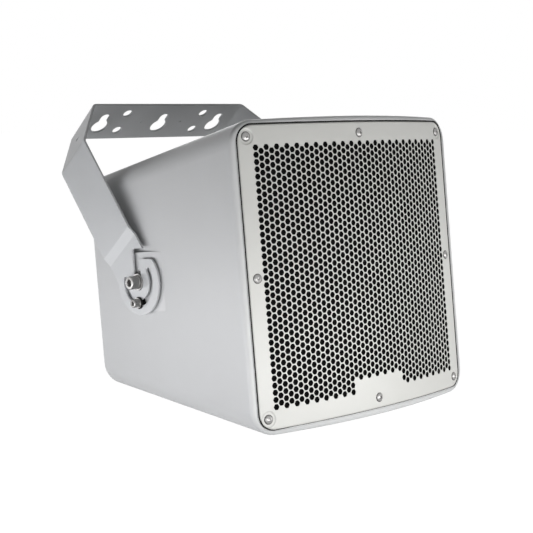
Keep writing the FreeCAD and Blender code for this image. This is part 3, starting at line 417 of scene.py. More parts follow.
FINISHES = {finish.name: finish for finish in (
    Finish("cabinet_paint", Pattern.PAINT, grey(0.55, -0.012), grey(0.565, -0.012), 0.42, 1.1, 0.035,
           wear=0.05, worn=grey(0.42)),
    Finish("grille_paint", Pattern.PAINT, (0.565, 0.565, 0.548), (0.585, 0.585, 0.568), 0.38, 0.7, 0.02,
           wear=0.05, worn=grey(0.45)),
    Finish("bracket_paint", Pattern.PAINT, grey(0.53, -0.02), grey(0.55, -0.02), 0.40, 0.6, 0.02,
           wear=0.08, worn=grey(0.35)),
    Finish("stainless", Pattern.BRUSHED, grey(0.26, 0.02), grey(0.34, 0.01), 0.36, 0.25, 0.004, 1.0),
    Finish("zinc_screws", Pattern.BRUSHED, grey(0.20, 0.03), grey(0.28, 0.03), 0.26, 0.3, 0.005, 1.0),
    Finish("zinc_plate", Pattern.BRUSHED, grey(0.45, 0.01), grey(0.52, 0.04), 0.36, 0.4, 0.008, 1.0),
    Finish("brass_inserts", Pattern.BRUSHED, (0.55, 0.36, 0.12), (0.62, 0.42, 0.17), 0.32, 0.3, 0.01, 1.0),
    Finish("black_rubber", Pattern.MOULDED, grey(0.006), grey(0.009), 0.62, 0.5, 0.02, wear=0.2,
           worn=grey(0.02), specular=0.15),
    Finish("black_mesh", Pattern.WOVEN, grey(0.001), grey(0.003), 0.85, 0.35, 0.05, specular=0.05),
    Finish("baffle", Pattern.WOUND, grey(0.006), grey(0.010), 0.6, 1.2, 0.06),
    Finish("cast_alloy", Pattern.CAST, grey(0.012), grey(0.020), 0.45, 1.4, 0.08),
    Finish("roll_rubber", Pattern.MOULDED, grey(0.012), grey(0.018), 0.5, 0.8, 0.02),
    Finish("cone", Pattern.WOVEN, grey(0.010), grey(0.018), 0.55, 1.2, 0.06),
    Finish("spider_cloth", Pattern.WOVEN, (0.28, 0.18, 0.06), (0.36, 0.25, 0.10), 0.75, 0.6, 0.06),
    Finish("copper_coil", Pattern.WOUND, (0.42, 0.15, 0.06), (0.55, 0.22, 0.09), 0.30, 0.6, 0.08, 0.8),
    Finish("ferrite", Pattern.CAST, grey(0.03), grey(0.045), 0.5, 0.6, 0.03),
    Finish("horn_plastic", Pattern.MOULDED, grey(0.010), grey(0.014), 0.4, 0.5, 0.01),
    Finish("driver_case", Pattern.CAST, grey(0.015), grey(0.022), 0.4, 0.9, 0.03),
    Finish("circuit_board", Pattern.WOVEN, (0.012, 0.10, 0.035), (0.02, 0.15, 0.05), 0.35, 0.8, 0.01),
    Finish("nylon", Pattern.MOULDED, grey(0.62, 0.02), grey(0.68, 0.03), 0.42, 0.7, 0.01),
    Finish("nylon_black", Pattern.MOULDED, grey(0.012), grey(0.018), 0.42, 0.6, 0.01),
    Finish("capacitor_case", Pattern.MOULDED, (0.36, 0.03, 0.02), (0.44, 0.05, 0.03), 0.28, 1.0, 0.02),
    Finish("resistor_case", Pattern.CAST, grey(0.60, 0.03), grey(0.68, 0.03), 0.7, 0.6, 0.05),
    Finish("laminations", Pattern.WOUND, grey(0.08), grey(0.13), 0.45, 0.5, 0.08, 0.7),
    Finish("winding_tape", Pattern.WOUND, (0.50, 0.30, 0.03), (0.58, 0.38, 0.05), 0.35, 1.5, 0.06),
    Finish("damping_felt", Pattern.WOVEN, grey(0.32, 0.06), grey(0.45, 0.06), 0.95, 2.0, 0.5),
    Finish("gland_plastic", Pattern.MOULDED, grey(0.020), grey(0.030), 0.4, 0.6, 0.015),
)}


def node(tree: Tree, kind: str, inputs: dict[str | int, object],
         **settings: object) -> bpy.types.Node:
    """Add a shader node, set its properties and fill its inputs.

    Args:
        tree: the node tree.
        kind: the node's type, without its first word ShaderNode.
        inputs: a number or colour to set on each input, or a socket to link to it.
        settings: the node's own properties.

    Returns:
        The node.
    """
    made = tree.nodes.new("ShaderNode" + kind)
    for key, value in settings.items():
        setattr(made, key, value)
    for key, value in inputs.items():
        if isinstance(value, Socket):
            tree.links.new(value, made.inputs[key])
        else:
            made.inputs[key].default_value = value
    return made


class Shop:
    """Builds the shared node groups once, and each material from its finish."""

    def __init__(self) -> None:
        """Make the groups that several finishes share."""
        self.made: dict[str, bpy.types.Material] = {}
        self.grain = self._grain_group()
        self.streak = self._streak_group()
        self.weave = self._weave_group()

    @staticmethod
    def _group(name: str, numbers: dict[str, float], outputs: Sequence[str]) -> Tree:
        """New shader node group with a vector input.

        Args:
            name: the group's name.
            numbers: name and default of each number that it takes.
            outputs: names of its value outputs.

        Returns:
            The group, with its input and output nodes in place.
        """
        tree = bpy.data.node_groups.new(name, "ShaderNodeTree")
        tree.interface.new_socket("Vector", in_out="INPUT", socket_type="NodeSocketVector")
        for label, value in numbers.items():
            socket = tree.interface.new_socket(label, in_out="INPUT", socket_type="NodeSocketFloat")
            socket.default_value = value
        for label in outputs:
            tree.interface.new_socket(label, in_out="OUTPUT", socket_type="NodeSocketFloat")
        tree.nodes.new("NodeGroupInput").name = "in"
        tree.nodes.new("NodeGroupOutput").name = "out"
        return tree

    @staticmethod
    def _noise(tree: Tree, vector: Socket, scale: Socket,
               factor: float, detail: float) -> Socket:
        """Noise whose scale is a socket times a factor; returns its 0 to 1 output."""
        times = node(tree, "Math", {0: scale, 1: factor}, operation="MULTIPLY")
        inputs = {"Vector": vector, "Scale": times.outputs[0], "Detail": detail, "Roughness": 0.55}
        return node(tree, "TexNoise", inputs).outputs[0]

    @staticmethod
    def _span(tree: Tree, value: Socket, low: float,
              high: float) -> Socket:
        """Map a value between low and high to 0 and 1, clamped."""
        return node(tree, "MapRange", {"Value": value, "From Min": low, "From Max": high}).outputs[0]

    def _grain_group(self) -> Tree:
        """Group with soft mottling, fine grain and sparse specks."""
        tree = self._group("surface_grain", {"Grain": 900, "Mottle": 14}, ["Mottle", "Grain", "Specks"])
        vector, fine, soft = tree.nodes["in"].outputs[:3]
        end = tree.nodes["out"].inputs
        mottle = self._noise(tree, vector, soft, 1.0, 4.0)
        grain = self._noise(tree, vector, fine, 1.0, 2.0)
        specks = self._noise(tree, vector, fine, 0.22, 1.0)
        tree.links.new(self._span(tree, mottle, 0.3, 0.7), end[0])
        tree.links.new(grain, end[1])
        tree.links.new(self._span(tree, specks, 0.70, 0.78), end[2])
        return tree

    def _streak_group(self) -> Tree:
        """Group with fine lines along one direction, from noise that is stretched along it."""
        tree = self._group("brush_streaks", {"Scale": 300}, ["Streak"])
        vector, scale = tree.nodes["in"].outputs[:2]
        squeeze = node(tree, "Mapping", {0: vector, "Scale": (8.0, 0.35, 1.0)})
        lines = self._noise(tree, squeeze.outputs[0], scale, 1.0, 3.0)
        tree.links.new(self._span(tree, lines, 0.25, 0.75), tree.nodes["out"].inputs[0])
        return tree

    def _weave_group(self) -> Tree:
        """Group with a square weave: the product of two sine bands."""
        tree = self._group("square_weave", {"Scale": 500}, ["Thread"])
        vector, scale = tree.nodes["in"].outputs[:2]
        inputs = {"Vector": vector, "Scale": scale, "Distortion": 0.4}
        bands = [node(tree, "TexWave", inputs, bands_direction=axis).outputs["Fac"] for axis in ("X", "Z")]
        both = node(tree, "Math", {0: bands[0], 1: bands[1]}, operation="MULTIPLY")
        tree.links.new(both.outputs[0], tree.nodes["out"].inputs[0])
        return tree

    def material(self, finish: Finish) -> bpy.types.Material:
        """Material of a finish, made once.

        Args:
            finish: its colours, gloss and grain.

        Returns:
            The material: pattern to Base Color and Roughness, and grain to a Bump node.
        """
        if finish.name in self.made:
            return self.made[finish.name]
        material = bpy.data.materials.new(finish.name)
        material.use_nodes = True
        tree = material.node_tree
        tree.nodes.clear()
        place = node(tree, "TexCoord", {}).outputs["Object"]
        scales = {"Vector": place, "Grain": 1000.0 / finish.grain_mm, "Mottle": 1000.0 / finish.mottle_mm}
        grain = node(tree, "Group", scales, node_tree=self.grain)
        height, shade = grain.outputs["Grain"], grain.outputs["Mottle"]
        if finish.pattern in (Pattern.BRUSHED, Pattern.WOUND):
            scales = {"Vector": place, "Scale": 250.0 / finish.grain_mm}
            height = node(tree, "Group", scales, node_tree=self.streak).outputs["Streak"]
        elif finish.pattern is Pattern.WOVEN:
            scales = {"Vector": place, "Scale": 160.0 / finish.grain_mm}
            height = shade = node(tree, "Group", scales, node_tree=self.weave).outputs["Thread"]
        colour = node(tree, "Mix", {0: shade, 6: (*finish.colour, 1), 7: (*finish.second, 1)},
                      data_type="RGBA").outputs[2]
        if finish.wear:
            share = node(tree, "Math", {0: grain.outputs["Specks"], 1: finish.wear}, operation="MULTIPLY")
            colour = node(tree, "Mix", {0: share.outputs[0], 6: colour, 7: (*finish.worn, 1)},
                          data_type="RGBA").outputs[2]
        gloss = node(tree, "MapRange", {"Value": height if finish.pattern is Pattern.BRUSHED else shade,
                                        "To Min": finish.roughness - finish.gloss_spread,
                                        "To Max": finish.roughness + finish.gloss_spread})
        bump = node(tree, "Bump", {"Height": height, "Strength": finish.bump,
                                   "Distance": finish.depth_mm * MM})
        shader = node(tree, "BsdfPrincipled", {"Base Color": colour, "Metallic": finish.metallic,
                                               "Roughness": gloss.outputs[0], "Normal": bump.outputs[0],
                                               "Specular IOR Level": finish.specular})
        node(tree, "OutputMaterial", {"Surface": shader.outputs[0]})
        self.made[finish.name] = material
        return material

    def piece(self, skin: Skin, name: str, slot: str, *nodes: str, body: str = "cabinet",
              sharp: float = 32.0) -> None:
        """Make a piece with its material, its body and the nodes that it stands for.

        Args:
            skin: its surface.
            name: its name.
            slot: its finish and material slot.
            nodes: CAD nodes that it replaces.
            body: the body that carries it.
            sharp: edges that turn by more than this many degrees stay sharp.
        """
        obj = skin.build(name, sharp)
        obj.data.materials.append(self.material(FINISHES[slot]))
        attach(obj, body)
        if nodes:
            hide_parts(*nodes)
        box = [round(v, 4) for v in obj.dimensions]
        log.info("%s: %d faces, size %s, rides on %s", name, len(obj.data.polygons), box, body)


# Grille

@dataclass
class Grille:
    """Bowed steel sheet with its whole pattern of hexagonal holes, a rolled rim and pressed screw seats."""

    pitch: float = 8.0
    flats: float = 6.66
    corner_r: float = 1.0
    columns: int = 22
    half_rows: int = 36
    bare_columns: tuple[int, int] = (17, 28)
    bare_half_rows: int = 3
    half_w: float = 173.6
    half_h: float = 168.95
    shift: Pair = (0.4, 0.25)
    rim_corner_r: float = 19.6
    lip: float = 0.4
    sheet_t: float = 1.6
    skin_t: float = 0.5
    skin_least: float = 0.12
    punch_break: float = 0.14
    roll_w: float = 2.2
    roll_h: float = 0.9
    roll_share: float = 0.98
    screw_s: float = 163.5
    screw_z: float = 156.5
    screw_hole_r: float = 2.8
    seat_r: float = 9.4
    seat_h: float = 1.0
    seat_ramp: float = 1.5
    rim_steps: tuple[float, ...] = (0.25, 0.7, 1.3, 2.0, 2.8, 3.6, 4.6, 6.5)
    seat_steps: tuple[float, ...] = (3.6, 4.6, 5.6, 6.6, 7.5, 7.9, 8.3, 8.7, 9.1, 9.5, 10.4, 12.0)
    fill_w: float = 168.0
    fill_h: float = 162.0
    fill_step: float = 6.0
    rim_clear: float = 0.15
    cell_clear: float = 0.6
    hole_clear: float = 0.2
    screw_points: int = 24
    seat_points: int = 40

    def centres(self) -> np.ndarray:
        """Middles of all holes.

        Returns:
            Array (n, 2): columns half the root of three of a pitch apart, every second one moved by half a
            pitch, without the two lowest holes of the middle columns.
        """
        c, h = np.meshgrid(np.arange(2 * self.columns + 1), np.arange(2 * self.half_rows + 1), indexing="ij")
        first, last = self.bare_columns
        bare = (c >= first) & (c <= last) & (h >= 2 * self.half_rows - self.bare_half_rows)
        good = ((c % 2) == (h % 2)) & ~bare
        s = (c - self.columns) * self.pitch * math.sqrt(3) / 2
        z = -(h - self.half_rows) / 2 * self.pitch
        return np.stack([s[good], z[good]], 1)

    def screw_places(self) -> list[Pair]:
        """Arc length and height of the eight screws."""
        steps = (-1, 0, 1)
        return [(i * self.screw_s, j * self.screw_z) for i in steps for j in steps if i or j]

    def rim_distance(self, p: np.ndarray) -> np.ndarray:
        """How far points (n, 2) lie inside the rim, as the distance to a rounded rectangle."""
        x = np.abs(p[:, 0] - self.shift[0]) - (CABINET.along(self.half_w) - self.rim_corner_r)
        y = np.abs(p[:, 1] - self.shift[1]) - (self.half_h - self.rim_corner_r)
        outside = np.hypot(np.maximum(x, 0), np.maximum(y, 0)) + np.minimum(np.maximum(x, y), 0)
        return self.rim_corner_r - outside

    def depth(self, p: np.ndarray) -> np.ndarray:
        """Depth of the sheet's front: the lip, a quarter ellipse at the rolled rim, and the corner seats.

        Args:
            p: points (n, 2) of arc length and height.

        Returns:
            How far each point lies behind the bowed front.
        """
        near = np.clip(1 - self.rim_distance(p) / self.roll_w, 0, 1)
        roll = self.roll_h * (1 - np.sqrt(1 - near ** 2 * self.roll_share))
        seat = np.zeros(len(p))
        for s, z in self.screw_places():
            if s and z:
                r = np.hypot(p[:, 0] - s, p[:, 1] - z)
                t = np.clip((self.seat_r - r) / self.seat_ramp, 0, 1)
                seat = np.maximum(seat, self.seat_h * t * t * (3 - 2 * t))
        return self.lip + np.maximum(roll, seat)

    def outline(self) -> np.ndarray:
        """Closed outline of the sheet: four straight sides and four arcs, in arc length and height."""
        return rounded_outline(CABINET.along(self.half_w), self.half_h, self.rim_corner_r) + self.shift

    def hexagon(self, width: float, rounding: float) -> np.ndarray:
        """Twelve points of a hexagon with its points left and right, each corner cut by a rounding."""
        corner = width / math.sqrt(3)
        back = rounding * math.tan(math.pi / 6) / corner
        tips = circle(0, 0, corner, 6)
        before, after = np.roll(tips, 1, 0), np.roll(tips, -1, 0)
        return np.stack([tips + (before - tips) * back, tips + (after - tips) * back], 1).reshape(-1, 2)

    def build(self, shop: Shop) -> None:
        """Make the painted face and, behind it, the rest of the sheet in black: painted shade that lines the
        holes.
        """
        middles = self.centres()
        split = self.lip + self.skin_t
        back = self.lip + self.sheet_t

        def between(p: np.ndarray) -> np.ndarray:
            """Depth at which the painted face ends."""
            return np.maximum(split, self.depth(p) + self.skin_least)

        def rear(p: np.ndarray) -> np.ndarray:
            """Depth of the sheet's back."""
            return np.full(len(p), back)

        wide, edge = self.flats + 2 * self.punch_break, self.corner_r + self.punch_break
        end = (split, self.flats, self.corner_r)
        face = [(self.lip, wide, edge), (self.lip + self.punch_break, self.flats, self.corner_r), end]
        # The hole walls behind the painted face are black, as painted shade inside the holes.
        shade_lining = [end, (back, self.flats, self.corner_r)]
        for name, slot, levels, front, behind, nodes in (
                ("grille_panel", "grille_paint", face, self.depth, between, ["front_grille"]),
                ("grille_shade_lining", "black_mesh", shade_lining, between, rear, [])):
            skin = Skin()
            self._cells(skin, middles, levels)
            self._border(skin, middles, front, behind)
            shop.piece(skin, name, slot, *nodes, sharp=30)

    def _cells(self, skin: Skin, middles: np.ndarray, levels: Sequence[Point]) -> None:
        """Add the sheet round each hole: a ring in its front, one in its back, and the hole's wall.

        Args:
            skin: what the faces are added to.
            middles: middles of the holes.
            levels: depth, width across flats and rounding of the hole, from the front to the back.
        """
        n = len(middles)
        tips = middles[:, None] + circle(0, 0, self.pitch / math.sqrt(3), 6)[None]
        rims = [middles[:, None] + self.hexagon(width, rounding)[None] for _, width, rounding in levels]
        k = np.arange(6)
        after = (k + 1) % 6
        sides = np.stack([k, after, 6 + 2 * after, 6 + 2 * k + 1], 1)
        corners = np.stack([k, 6 + 2 * k + 1, 6 + 2 * k], 1)
        base = (np.arange(n) * 18)[:, None, None]
        for rim, level, turn in ((rims[0], levels[0][0], -1), (rims[-1], levels[-1][0], 1)):
            points = CABINET.on_bow(np.concatenate([tips, rim], 1).reshape(-1, 2), level)
            quads = (base + sides[None]).reshape(-1, 4)[:, ::turn]
            tris = (base + corners[None]).reshape(-1, 3)[:, ::turn]
            skin.add(points, quads.tolist() + tris.tolist())
        m = np.arange(12)
        ahead = (m + 1) % 12
        base = (np.arange(n) * 12)[:, None, None]
        quads = (base + np.stack([m, ahead, ahead, m], 1)[None]).reshape(-1, 4)
        quads[:, 2:] += 12 * n
        for i in range(len(levels) - 1):
            flat = np.concatenate([rims[i], rims[i + 1]]).reshape(-1, 2)
            level = np.repeat([levels[i][0], levels[i + 1][0]], 12 * n)
            skin.add(CABINET.on_bow(flat, level), quads.tolist())

    def _border(self, skin: Skin, middles: np.ndarray, front: OfPoints, back: OfPoints) -> None:
        """Add the sheet round the field of holes, with its rim and screw holes.

        Args:
            skin: what the faces are added to.
            middles: middles of the holes.
            front: depth of its front at given points.
            back: depth of its back.
        """
        cell = circle(0, 0, self.pitch / math.sqrt(3), 6)
        tips = (middles[:, None] + cell[None]).reshape(-1, 2)
        per_mm = 1000
        keys, index = np.unique(np.round(tips * per_mm).astype(int), axis=0, return_inverse=True)
        index = index.reshape(-1, 6)
        sides = {(int(a), int(b)) for row in index for a, b in zip(row, np.roll(row, -1))}
        open_sides = sorted((a, b) for a, b in sides if (b, a) not in sides)
        used = sorted({a for pair in open_sides for a in pair})
        stair = keys[used] / per_mm
        outline = self.outline()
        screws = self.screw_places()
        loops = [outline] + [circle(s, z, self.screw_hole_r, self.screw_points) for s, z in screws]
        start = sum(len(loop) for loop in loops)
        extra = [offset_loop(outline, inset) for inset in self.rim_steps]
        extra += [circle(s, z, r, self.seat_points) for s, z in screws for r in self.seat_steps]
        s, z = np.meshgrid(np.arange(-self.fill_w, self.fill_w + 1, self.fill_step),
                           np.arange(-self.fill_h, self.fill_h + 1, self.fill_step))
        more = np.concatenate([*extra, np.stack([s.ravel(), z.ravel()], 1)])

        def clear(p: np.ndarray, rim: float, cell_gap: float, hole_r: float) -> np.ndarray:
            """Points far enough inside the rim, outside every cell and outside every screw hole."""
            good = (self.rim_distance(p) > rim) & (self._cell_gap(p, middles) > cell_gap)
            for x, y in screws:
                good &= np.hypot(p[:, 0] - x, p[:, 1] - y) > hole_r
            return good

        more = more[clear(more, self.rim_clear, self.cell_clear, self.screw_hole_r + self.hole_clear)]
        place = {v: start + i for i, v in enumerate(used)}
        flat, tris = triangles(loops, [(place[a], place[b]) for a, b in open_sides],
                               lambda mid: clear(mid, 0, 0, self.screw_hole_r * 0.99), [stair, more])
        for level, turn in ((front(flat), 1), (back(flat), -1)):
            skin.add(CABINET.on_bow(flat, level), tris[:, ::turn].tolist())
        for i, loop in enumerate(loops):
            rings = [CABINET.on_bow(loop, level) for level in (front(loop), back(loop))]
            skin.add_rings(rings if i == 0 else rings[::-1])

    def _cell_gap(self, p: np.ndarray, middles: np.ndarray) -> np.ndarray:
        """How far points lie outside the nearest hole's cell, as a hexagon's distance.

        Args:
            p: points (n, 2).
            middles: middles of the holes (m, 2).

        Returns:
            Below zero inside a cell: the largest of three projections, less half the pitch.
        """
        out = np.empty(len(p))
        axes = np.array([[0, 1], [math.sqrt(3) / 2, 0.5], [math.sqrt(3) / 2, -0.5]])
        batch = 1000
        for start in range(0, len(p), batch):
            d = p[start:start + batch, None] - middles[None]
            out[start:start + batch] = np.abs(d @ axes.T).max(2).min(1)
        return out - self.pitch / 2


@dataclass
class RimSeal:
    """Two beads in the groove: black rubber that is also painted shade, widest at the top and left where the
    groove is shaded, and one in cabinet paint.

    Both profiles are given as the share of the bead's width and the depth behind the front. Stations are
    counted along the outline, anticlockwise from the upper right corner.
    """

    recess_half_w: float = 176.1
    recess_half_h: float = 170.65
    shift: Pair = (0.25, 0.3)
    recess_corner_r: float = 20.9
    floor_depth: float = 1.98
    # Share of the groove that the black bead fills. It is widest at the top and left, where the bead is
    # painted shade of the groove.
    rubber_shade_share: tuple[tuple[int, float], ...] = (
        (0, 0.3), (11, 0.85), (30, 1.0), (92, 1.0), (104, 0.66), (183, 0.66), (189, 0.85), (201, 0.12),
        (367, 0.14), (368, 0.3))
    # Profile of the black bead: rubber, brought up near the front as painted shade of the groove.
    rubber: tuple[Pair, ...] = ((0.0, 1.0), (0.1, 0.45), (0.3, 0.0), (0.5, -0.06), (0.92, -0.06), (1.0, 0.02))
    paint: tuple[Pair, ...] = ((0.0, 0.5), (0.15, 0.3), (0.5, 0.25), (0.85, 0.3), (1.0, 0.5))
    paint_first: int = 96
    paint_past: int = 14
    edge_gap: float = 0.02
    paint_end: float = 0.99

    def build(self, shop: Shop) -> None:
        """Make both beads, each a closed profile between the grille's outline and the recess's."""
        inner = Grille().outline()
        outer_s = CABINET.along(self.recess_half_w)
        outer = rounded_outline(outer_s, self.recess_half_h, self.recess_corner_r) + self.shift
        count = len(inner)
        edge = np.interp(np.arange(count), *zip(*self.rubber_shade_share))
        painted = [i % count for i in range(self.paint_first, count + self.paint_past)]
        gap, end = np.full(count, self.edge_gap), np.full(count, self.paint_end)
        # The black bead paints the groove's shade. The bead in cabinet paint fills the rest of the groove.
        beads = (("rim_seal_shade", self.rubber, range(count), gap, edge, "black_rubber"),
                 ("rim_bead", self.paint, painted, edge + gap, end, "cabinet_paint"))
        for name, crown, order, low, high, slot in beads:
            profile = np.array([(0.0, self.floor_depth), *crown, (1.0, self.floor_depth)])
            rings = []
            for i in order:
                share = (low[i] + (high[i] - low[i]) * profile[:, 0])[:, None]
                rings.append(CABINET.on_bow(inner[i] * (1 - share) + outer[i] * share, profile[:, 1]))
            skin = Skin()
            if len(rings) == count:
                skin.add_rings(rings + rings[:1])
            else:
                skin.add_rings(rings)
                skin.add(rings[0], [range(len(profile))[::-1]])
                skin.add(rings[-1], [range(len(profile))])
            shop.piece(skin, name, slot, sharp=50)


# Bracket

@dataclass
class Bracket:
    """Steel strip bent to a U with slanted corners, slotted tabs and a drilled plate."""

    strip_w: float = 68.6
    strip_t: float = 3.0
    bend_mid_r: float = 7.5
    bend_steps: int = 9
    angle: float = math.radians(55.5)
    tab_x: float = CABINET.pad_x + 2.0
    joggle: float = 4.0
    joggle_u: float = 54.0
    joggle_run: float = 12.0
    arm_length: float = 196.5
    corner_w: float = 42.4
    corner_h: float = 58.0
    tab_r: float = 41.0
    tail: float = 4.0
    slot_w: float = 13.0
    slot_top: float = 41.0
    slot_corner_r: float = 3.0
    mouth_h: float = 13.0
    tip_r: float = 9.0
    arc_w: float = 7.0
    arc_r: float = 25.5
    arc_first: float = math.radians(147.0)
    arc_last: float = math.radians(367.0)
    edge_break: float = 0.45
    edge_first: float = 10.0
    edge_step: float = 14.0
    edge_clear: float = 2.0
    keyhole_pitch: float = 99.0
    keyhole_big_r: float = 12.0
    keyhole_small_r: float = 6.5
    keyhole_half: float = 9.0
    neck_trim: float = 0.14
    neck: tuple[Pair, Pair] = ((0.25, 0.6), (0.0, 2.2))
    round_hole: Point = (66.0, 17.0, 6.5)
    corner_hole_r: float = 3.5
    pit: Point = (34.0, 1.8, 1.0)

    def path(self) -> tuple[np.ndarray, np.ndarray, np.ndarray]:
        """Middle line of the right half of the strip, from the plate's middle to the tab's end.

        Returns:
            Arc lengths (n,), points (n, 2) of X and distance from the pivot, and outward normals (n, 2).
        """
        half = self.strip_t / 2
        arm = self.tab_x + self.joggle
        top = self.arm_length + self.corner_h
        inner = np.array([(0, top), (arm - self.corner_w, top), (arm, self.arm_length),
                          (arm, self.joggle_u + self.joggle_run / 2),
                          (self.tab_x, self.joggle_u - self.joggle_run / 2),
                          (self.tab_x, -self.tab_r - self.tail)], float)
        way = np.diff(inner, axis=0)
        way /= np.linalg.norm(way, axis=1)[:, None]
        left = np.stack([-way[:, 1], way[:, 0]], 1)
        points, normals = [inner[0] + left[0] * half], [left[0]]
        for i in range(1, len(inner) - 1):
            corner = inner[i] + (left[i - 1] + left[i]) * half / (1 + left[i - 1] @ left[i])
            turn = math.atan2(way[i - 1][0] * way[i][1] - way[i - 1][1] * way[i][0], way[i - 1] @ way[i])
            reach = self.bend_mid_r * math.tan(abs(turn) / 2)
            side = math.copysign(self.bend_mid_r, turn)
            centre = corner - way[i - 1] * reach + left[i - 1] * side
            for a in np.linspace(0, turn, self.bend_steps):
                spun = np.array([left[i - 1][0] * math.cos(a) - left[i - 1][1] * math.sin(a),
                                 left[i - 1][0] * math.sin(a) + left[i - 1][1] * math.cos(a)])
                points.append(centre - spun * side)
                normals.append(spun)
        line = np.array(points + [inner[-1] + left[-1] * half])
        length = np.concatenate([[0], np.cumsum(np.linalg.norm(np.diff(line, axis=0), axis=1))])
        return length, line, np.array(normals + [left[-1]])

    def build(self, shop: Shop) -> None:
        """Make the strip and give it its paint."""
        length, line, normal = self.path()
        pivot_s = float(np.interp(0.0, line[::-1, 1][:2], length[::-1][:2]))
        cos, sin = math.cos(self.angle), math.sin(self.angle)

        def place(flat: np.ndarray, height: np.ndarray) -> np.ndarray:
            """Lay flat points along the bent path: point at the arc length, plus height times its normal."""
            s, side = np.abs(flat[:, 0]), np.where(flat[:, 0] < 0, -1.0, 1.0)
            nx, nu = np.interp(s, length, normal[:, 0]), np.interp(s, length, normal[:, 1])
            size = np.hypot(nx, nu)
            x = np.interp(s, length, line[:, 0]) + nx / size * height
            u = np.interp(s, length, line[:, 1]) + nu / size * height
            w = flat[:, 1]
            local = np.stack([side * x, CABINET.pivot_y + u * cos - w * sin, u * sin + w * cos], 1)
            return CABINET.points(local)

        def on_tab(yz: np.ndarray) -> np.ndarray:
            """Flat coordinates of points that are given in the upright plane of the tab."""
            u = yz[:, 0] * cos + yz[:, 1] * sin
            return np.stack([pivot_s - u, yz[:, 1] * cos - yz[:, 0] * sin], 1)

        half = self.strip_w / 2
        tab = on_tab(self._tab_edge(half, cos, sin))
        bend_s = length[1:-1]
        spaced = np.arange(self.edge_first, length[-1], self.edge_step)
        edge_s = np.unique(np.round(np.concatenate([bend_s, spaced]), 6))
        front = edge_s[edge_s < tab[0, 0] - self.edge_clear]
        back = edge_s[edge_s < tab[-1, 0] - self.edge_clear]
        right = np.concatenate([np.stack([front, np.full(len(front), half)], 1), tab,
                                np.stack([back, np.full(len(back), -half)], 1)[::-1]])
        outline = np.concatenate([right, (right * (-1, 1))[::-1]])[::-1]
        middle_s, *pit = self.pit
        sheet = CutSheet(outline, self._holes(on_tab, length), self.strip_t, self.edge_break, place,
                         bend_lines=[v for s in bend_s for v in (-s, s)], half_band=half,
                         pits=[(s, 0.0, *pit) for s in (-middle_s, middle_s)])
        skin = Skin()
        sheet.build(skin)
        shop.piece(skin, "bracket_strip", "bracket_paint", "u_bracket", body="bracket", sharp=30)

    def _tab_edge(self, half: float, cos: float, sin: float) -> np.ndarray:
        """Edge of the tab in its upright plane, from the arm's front edge round to its rear edge.

        Args:
            half: half the strip's width.
            cos: cosine of the arm's angle.
            sin: its sine.

        Returns:
            Points (n, 2) of Y and Z from the pivot: down the hooked slot, round the hook's tip and on along
            the tab's circle.
        """
        r, t, low, c = self.tab_r, self.slot_w / 2, self.slot_top - self.mouth_h, self.slot_corner_r
        tip_z = low - self.tip_r
        tip_y = -math.sqrt((r - self.tip_r) ** 2 - tip_z ** 2)
        tip_end = math.atan2(tip_z, tip_y)
        rear = math.atan2(-half, math.sqrt(r * r - half * half)) + self.angle
        return np.concatenate([
            np.array([((self.slot_top * cos - half) / sin, self.slot_top)]),
            arc(t - c, self.slot_top - c, c, math.pi / 2, 0, 6),
            arc(0, 0, t, 0, -math.pi, 25),
            arc(-t - c, low - c, c, 0, math.pi / 2, 7),
            arc(tip_y, tip_z, self.tip_r, math.pi / 2, tip_end, 10),
            arc(0, 0, r, tip_end, rear + 2 * math.pi, 80)[1:],
        ])

    def _holes(self, on_tab: OfPoints, length: np.ndarray) -> list[np.ndarray]:
        """Outlines of all holes on the flat strip, anticlockwise.

        Args:
            on_tab: turns points of the tab's upright plane into flat ones.
            length: arc lengths of the strip's middle line.

        Returns:
            Keyholes, round holes, corner holes and arc slots.
        """
        big, small, high = self.keyhole_big_r, self.keyhole_small_r, self.keyhole_half
        meet = math.acos(small / big)
        trim = meet - self.neck_trim
        neck_r = np.array(self.neck) + (small, big * math.sin(meet) - high)
        keyhole = np.concatenate([arc(0, -high, big, math.pi - trim, 2 * math.pi + trim, 44),
                                  neck_r, arc(0, high, small, 0, math.pi, 22), neck_r[::-1] * (-1, 1)])
        holes = [keyhole + (i * self.keyhole_pitch, 0) for i in (-1, 0, 1)]
        x, z, hole_r = self.round_hole
        holes += [circle(i * x, j * z, hole_r, 40) for i in (-1, 1) for j in (-1, 1)]
        middle = (length[self.bend_steps] + length[self.bend_steps + 1]) / 2
        holes += [circle(i * middle, 0.0, self.corner_hole_r, 28) for i in (-1, 1)]
        h, r, first, last = self.arc_w / 2, self.arc_r, self.arc_first, self.arc_last
        ends = [(r * math.cos(a), r * math.sin(a)) for a in (first, last)]
        slot = np.concatenate([arc(0, 0, r + h, first, last, 60),
                               arc(*ends[1], h, last, last + math.pi, 12)[1:-1],
                               arc(0, 0, r - h, last, first, 50),
                               arc(*ends[0], h, first + math.pi, first + 2 * math.pi, 12)[1:-1]])
        flat = on_tab(slot)[::-1]
        return holes + [flat, (flat * (-1, 1))[::-1]]


# Rear input

